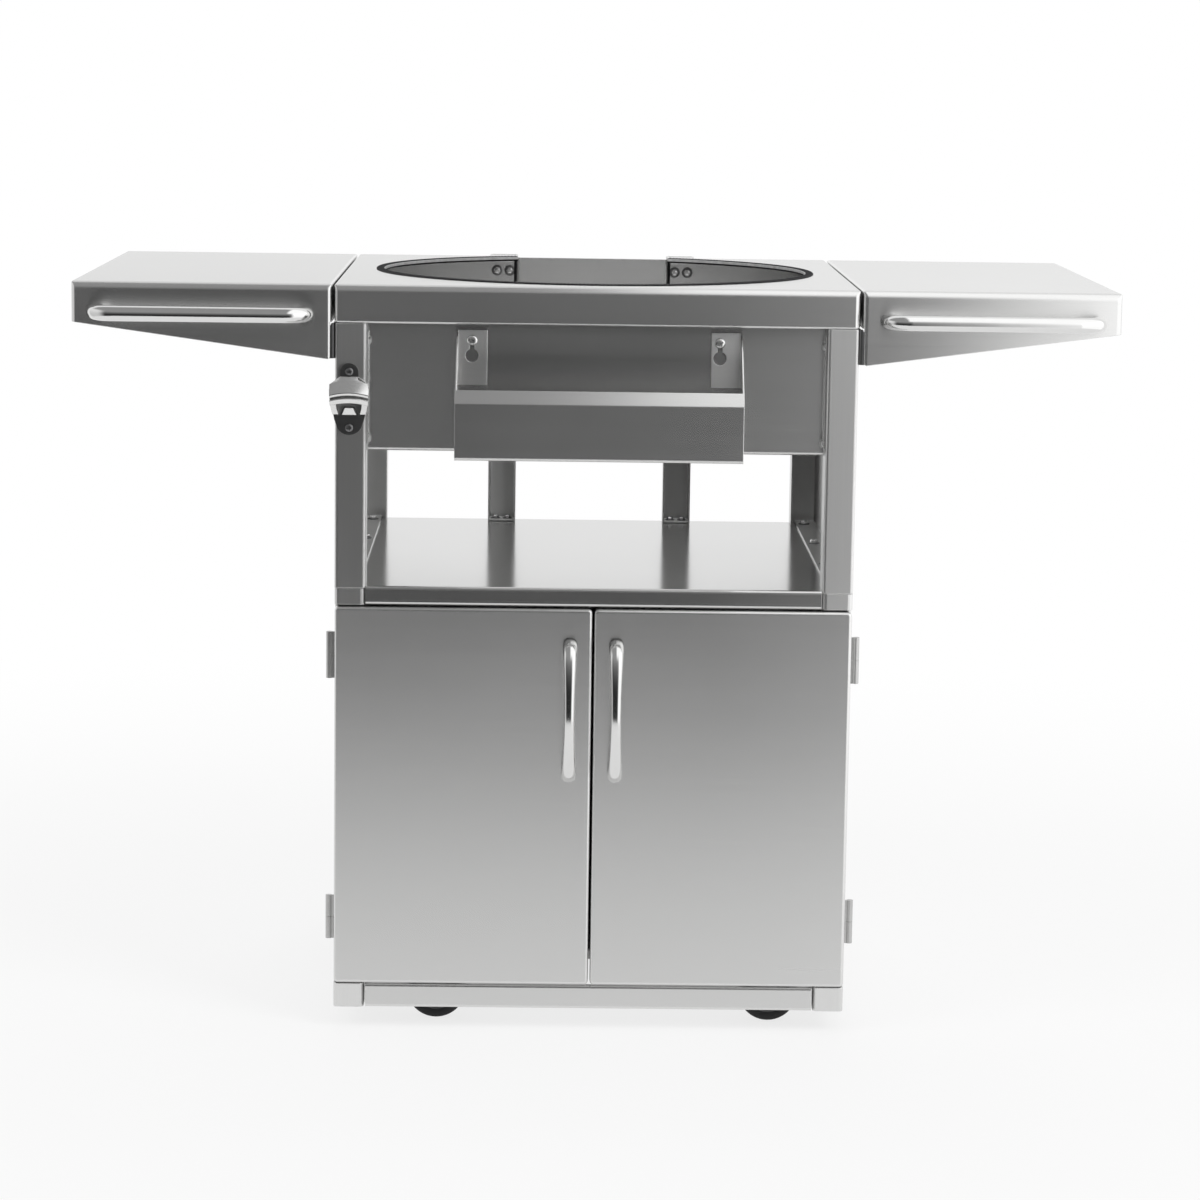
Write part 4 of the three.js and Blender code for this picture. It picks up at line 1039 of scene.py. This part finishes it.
legs, tooth = bmesh.new(), bmesh.new()
for _, side in hands:
    skin(legs, [[on_opener(side * x, drop, out) for x, drop, out in ring] for ring in leg_rings])
file_edges(legs, 0.0008)
make_piece("opener_legs", legs, cast_steel, crease=38)
make_piece("opener_hood", hood, cast_steel, crease=38)

tooth_rings = []
for right in tooth_sides:
    left = [(-x, drop, out) for x, drop, out in right]
    tooth_rings.append([on_opener(*corner) for corner in (left[0], *right, left[1])])
skin(tooth, tooth_rings)
file_edges(tooth, 0.0004)
make_piece("opener_tooth", tooth, cast_steel, crease=38)
print("tooth", round(2 * tooth_sides[0][0][0], 4), "wide at its foot")

# %% [markdown]
# Screws and bolts hold the folded pieces together. Each head is turned: a profile is spun into
# rings and closed by a point at both ends. Blender's screw modifier can do that too, but these
# rings can also have few points, and six make a hexagon. A cross is sawn into the screws, and
# each bolt has a flange painted dark as shade under a bright head.

# %% Screw and bolt heads
def turn_head(bm, profile, at, count=20):
    rings = []
    for radius, height in profile:
        points = ring_points(0, 0, radius, count) if radius else [(0, 0)]
        rings.append([at @ Vector((x, y, height)) for x, y in points])
    skin(bm, rings, "open")


def scaled(profile, across, tall):
    return [(radius * across, height * tall) for radius, height in profile]


def cross_head(bm, at, scale, tall, shank):
    radius = 0.0045
    foot = [(0, -shank), (0.0022, -shank), (0.0022, 0)] if shank else [(0, 0)]
    crown = [(radius, 0), (radius, 0.0009), (radius * 0.93, 0.0017), (radius * 0.7, 0.0025),
             (radius * 0.42, 0.0029), (0, 0.0030)]
    turn_head(bm, foot + scaled(crown, scale, tall), at)


def cross_saw(bm, at, scale, tall):
    arm, half = 0.0026 * scale, 0.0006 * scale
    outline = [(arm, half), (half, half), (half, arm)]
    for _ in range(3):
        outline += [(-y, x) for x, y in outline[-3:]]
    prism(bm, outline, 0.0012 * tall, 0.0045 * tall, lambda a, b, end: at @ Vector((a, b, end)))


washer_profile = [(0, 0), (0.0078, 0), (0.0078, 0.0007), (0.0078 * 0.93, 0.0012),
                  (0.0078 * 0.62, 0.0016), (0, 0.0016)]
hexagon_profile = tenths([(0, 10), (54, 10), (54, 38), (44, 50), (22, 55), (0, 56)])
print("bolt head", 2 * hexagon_profile[1][0], "across its corners")

# %% [markdown]
# The fasteners at one joint are one piece. Each could be its own object, but then the list of
# pieces would be longer than the list of real parts. A group takes the places and the way that
# each head faces, and turns every head differently, because nobody lines them up.

# %% Groups of fasteners
def facing_frame(place, direction, spin=0.0):
    aim = Vector(direction).to_track_quat("Z", "Y").to_matrix().to_4x4()
    return Matrix.Translation(Vector(place)) @ aim @ Matrix.Rotation(spin, 4, "Z")


def screw_group(name, places, finish, scale=1.0, tall=1.0, shank=0.0, stands_for=()):
    heads, saws = bmesh.new(), bmesh.new()
    for k, (place, direction) in enumerate(places):
        at = facing_frame(place, direction, 0.4 + 1.3 * k)
        cross_head(heads, at, scale, tall, shank)
        cross_saw(saws, at, scale, tall)
    mesh_piece(name, cut_away(heads, [saws]), finish, stands_for=stands_for, crease=40)


def bolt_group(name, places, finish, scale=1.0):
    flanges, heads = bmesh.new(), bmesh.new()
    for k, (place, direction) in enumerate(places):
        at = facing_frame(place, direction, 0.9 * k)
        turn_head(flanges, scaled(washer_profile, scale, scale), at)
        turn_head(heads, scaled(hexagon_profile, scale, scale), at, 6)
    # Painted shade: the flanges under the bolt heads are painted dark.
    make_piece(name.replace("bolts", "bolt_flanges"), flanges, painted_shade_dark_steel, crease=28)
    make_piece(name, heads, finish, crease=28)


print("bolt flange", 2 * washer_profile[1][0], "across")

# %% [markdown]
# The fasteners sit where the photograph shows them: two in the opener, two shoulder screws
# that carry the rack, four bolts along each side wall, two at the foot and two at the top of
# each upright, and screws in the aprons and hinge leaves. Ray casts could find the faces, but
# most of them are known from the solids' boxes, and the rest are measured.

# %% Fasteners in their places
forwards, upwards = (0, -1, 0), (0, 0, 1)
face = opener_back - plate_thick
# The opener's screws take the plate's painted shade.
screw_group("opener_screws", [((opener_x, face, opener_top - drop), forwards)
                              for drop in (0.0104, 0.0790)], painted_shade_dark_steel, scale=1.1, tall=0.75)

head_height, flange_rise, leaf_inset = 0.0022, 0.0052, 0.008
flange_x, side_wall_x, leaf_face_x = 0.300, 0.27865, 0.3213
shelf_top, upright_bolt_z = 0.5629, 0.910
upright_foot_y, upright_face_y = middle_y + 0.325, middle_y + 0.3030

for hand, side in hands:
    inwards, outwards = (-side, 0, 0), (side, 0, 0)
    low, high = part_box(f"rack_screw_{hand}")
    middle = (low + high) / 2
    screw_group(f"rack_shoulder_screw_{hand}",
                [((middle.x, low.y + head_height, middle.z), forwards)], cast_steel, scale=1.46,
                tall=0.73, shank=high.y - low.y - head_height, stands_for=[f"rack_screw_{hand}"])
    flange_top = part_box(f"side_wall_{hand}")[0].z + flange_rise
    bolt_group(f"side_wall_bolts_{hand}", [
        ((side * flange_x, middle_y + y, flange_top), upwards)
        for y in (-0.278, -0.0847, 0.1086, 0.302)], cast_steel)
    bolt_group(f"upright_foot_bolts_{hand}", [
        ((side * x, upright_foot_y, shelf_top), upwards) for x in (0.1135, 0.1300)],
        cast_steel, scale=0.85)
    bolt_group(f"upright_top_bolts_{hand}", [
        ((side * x, upright_face_y, upright_bolt_z), forwards) for x in (0.1135, 0.1310)],
        cast_steel, scale=0.95)
    screw_group(f"apron_end_screws_{hand}", [
        ((side * side_wall_x, middle_y + y, z), inwards)
        for y in (-0.286, 0.313) for z in (0.740, 0.860)], zinc_steel)
    leaf_screws = []
    for level in ("lower", "upper"):
        low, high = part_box(f"hinge_leaf_{level}_{hand}")
        for share in (0.2, 0.8):
            z = low.z + share * ((high.z - low.z) * 0.5)
            leaf_screws.append(((side * leaf_face_x, high.y - leaf_inset, z), outwards))
    screw_group(f"hinge_screws_{hand}", leaf_screws, zinc_steel, scale=0.62, tall=0.62)
print("fasteners placed on both sides")

# %% [markdown]
# Each shelf turns on two pins, welded into the aprons and ground flush, so nothing of them
# shows from outside. The plain solid would poke through the thinner skin, so each pin is
# turned here as a shank with a head, and stops just under the apron's skin.

# %% Shelf pins
pin_radius, pin_head = 0.0030, 0.0050

for hand, _ in hands:
    for end, out in (("front", -1), ("rear", 1)):
        low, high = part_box(f"shelf_pin_{end}_{hand}")
        middle = (low + high) / 2
        long = high.y - low.y
        at = facing_frame((middle.x, low.y if out < 0 else high.y, middle.z), (0, -out, 0))
        pin = bmesh.new()
        turn_head(pin, [(0, 0.0006), (pin_radius, 0.0006), (pin_radius, long - 0.002),
                        (pin_head, long - 0.002), (pin_head, long - 0.0005),
                        (0.0045, long), (0, long)], at, 24)
        make_piece(f"turned_pin_{end}_{hand}", pin, zinc_steel, f"{hand}_side_shelf",
                   "plated_steel", [f"shelf_pin_{end}_{hand}"])
print("pins", round(long, 4), "long")

# %% [markdown]
# The rack's two end sheets have a rolled hem along their sloping edge, so that a hand doesn't
# meet a cut edge. It could be bump, but it catches the light as a thin bright line from every
# side, so a small round section is swept along each slope. It stops short of the top, so that
# it clears the tabletop when the rack is lifted.

# %% Rack hems
low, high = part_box("rack")
lip_end = Vector((0, low.y + 0.0082, low.z + 0.0840))
ear_end = Vector((0, high.y - 0.0066, high.z - 0.0032))
hem_radius = 0.0014
hem_steps = 6
hems = bmesh.new()
for x in (low.x + hem_radius, high.x - hem_radius):
    shift = Vector((x, 0, 0))
    slope = [lip_end.lerp(ear_end, k / hem_steps) + shift for k in range(hem_steps + 1)]
    sweep(hems, slope, Vector((1, 0, 0)), round_bar(hem_radius, 14))
make_piece("rack_end_hems", hems, bar_steel, "spice_rack", "polished_bar", crease=50)
print("rack hems", round((ear_end - lip_end).length, 3), "long")

# %% [markdown]
# The casters carry a rubber tyre on a plastic hub. One cylinder would be the quick way, but
# the lowest part of the tyre shows under the table, where its rounded tread gives it away. So
# both are turned from half a profile and its mirror image: the tyre with a fine groove on
# either side, the hub with a raised boss. Four bolts hold each caster's plate.

# %% Wheels
tread = tenths([(262, 98), (300, 110), (338, 110), (360, 98), (371, 72), (374, 42), (366, 36),
                (374, 30)])
rim = tenths([(42, 124), (105, 124), (125, 112), (135, 66), (240, 62), (255, 96), (264, 98)])
crown, plate_sheet = (0.0375, 0.0), 0.003
bolt_spacing = (-0.0225, 0.0225)


def turned_ring(half_profile, between_halves, centre, count):
    profile = [(r, -y) for r, y in half_profile] + between_halves + half_profile[::-1]
    bm = bmesh.new()
    rings = [[centre + Vector((a, y, b)) for a, b in ring_points(0, 0, r, count)]
             for r, y in profile]
    skin(bm, rings, "joined")
    return bm


for corner in ("front_left", "front_right", "rear_left", "rear_right"):
    low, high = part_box(f"wheel_{corner}")
    centre = (low + high) / 2
    radius = (high.z - low.z) / 2
    make_piece(f"tyre_{corner}", turned_ring(tread, [crown], centre, 72), tyre_rubber,
               f"roller_{corner}", "caster_tyre", [f"wheel_{corner}"], crease=50)
    make_piece(f"hub_{corner}", turned_ring(rim, [], centre, 48), hub_plastic,
               f"roller_{corner}", "caster_tyre", crease=40)
    low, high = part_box(f"caster_plate_{corner}")
    middle = (low + high) / 2
    bolt_group(f"caster_bolts_{corner}",
               [((middle.x + a, middle.y + b, high.z - plate_sheet), (0, 0, -1))
                for a in bolt_spacing for b in bolt_spacing], zinc_steel, scale=0.8)
print("wheels", round(2 * radius, 4), "across")
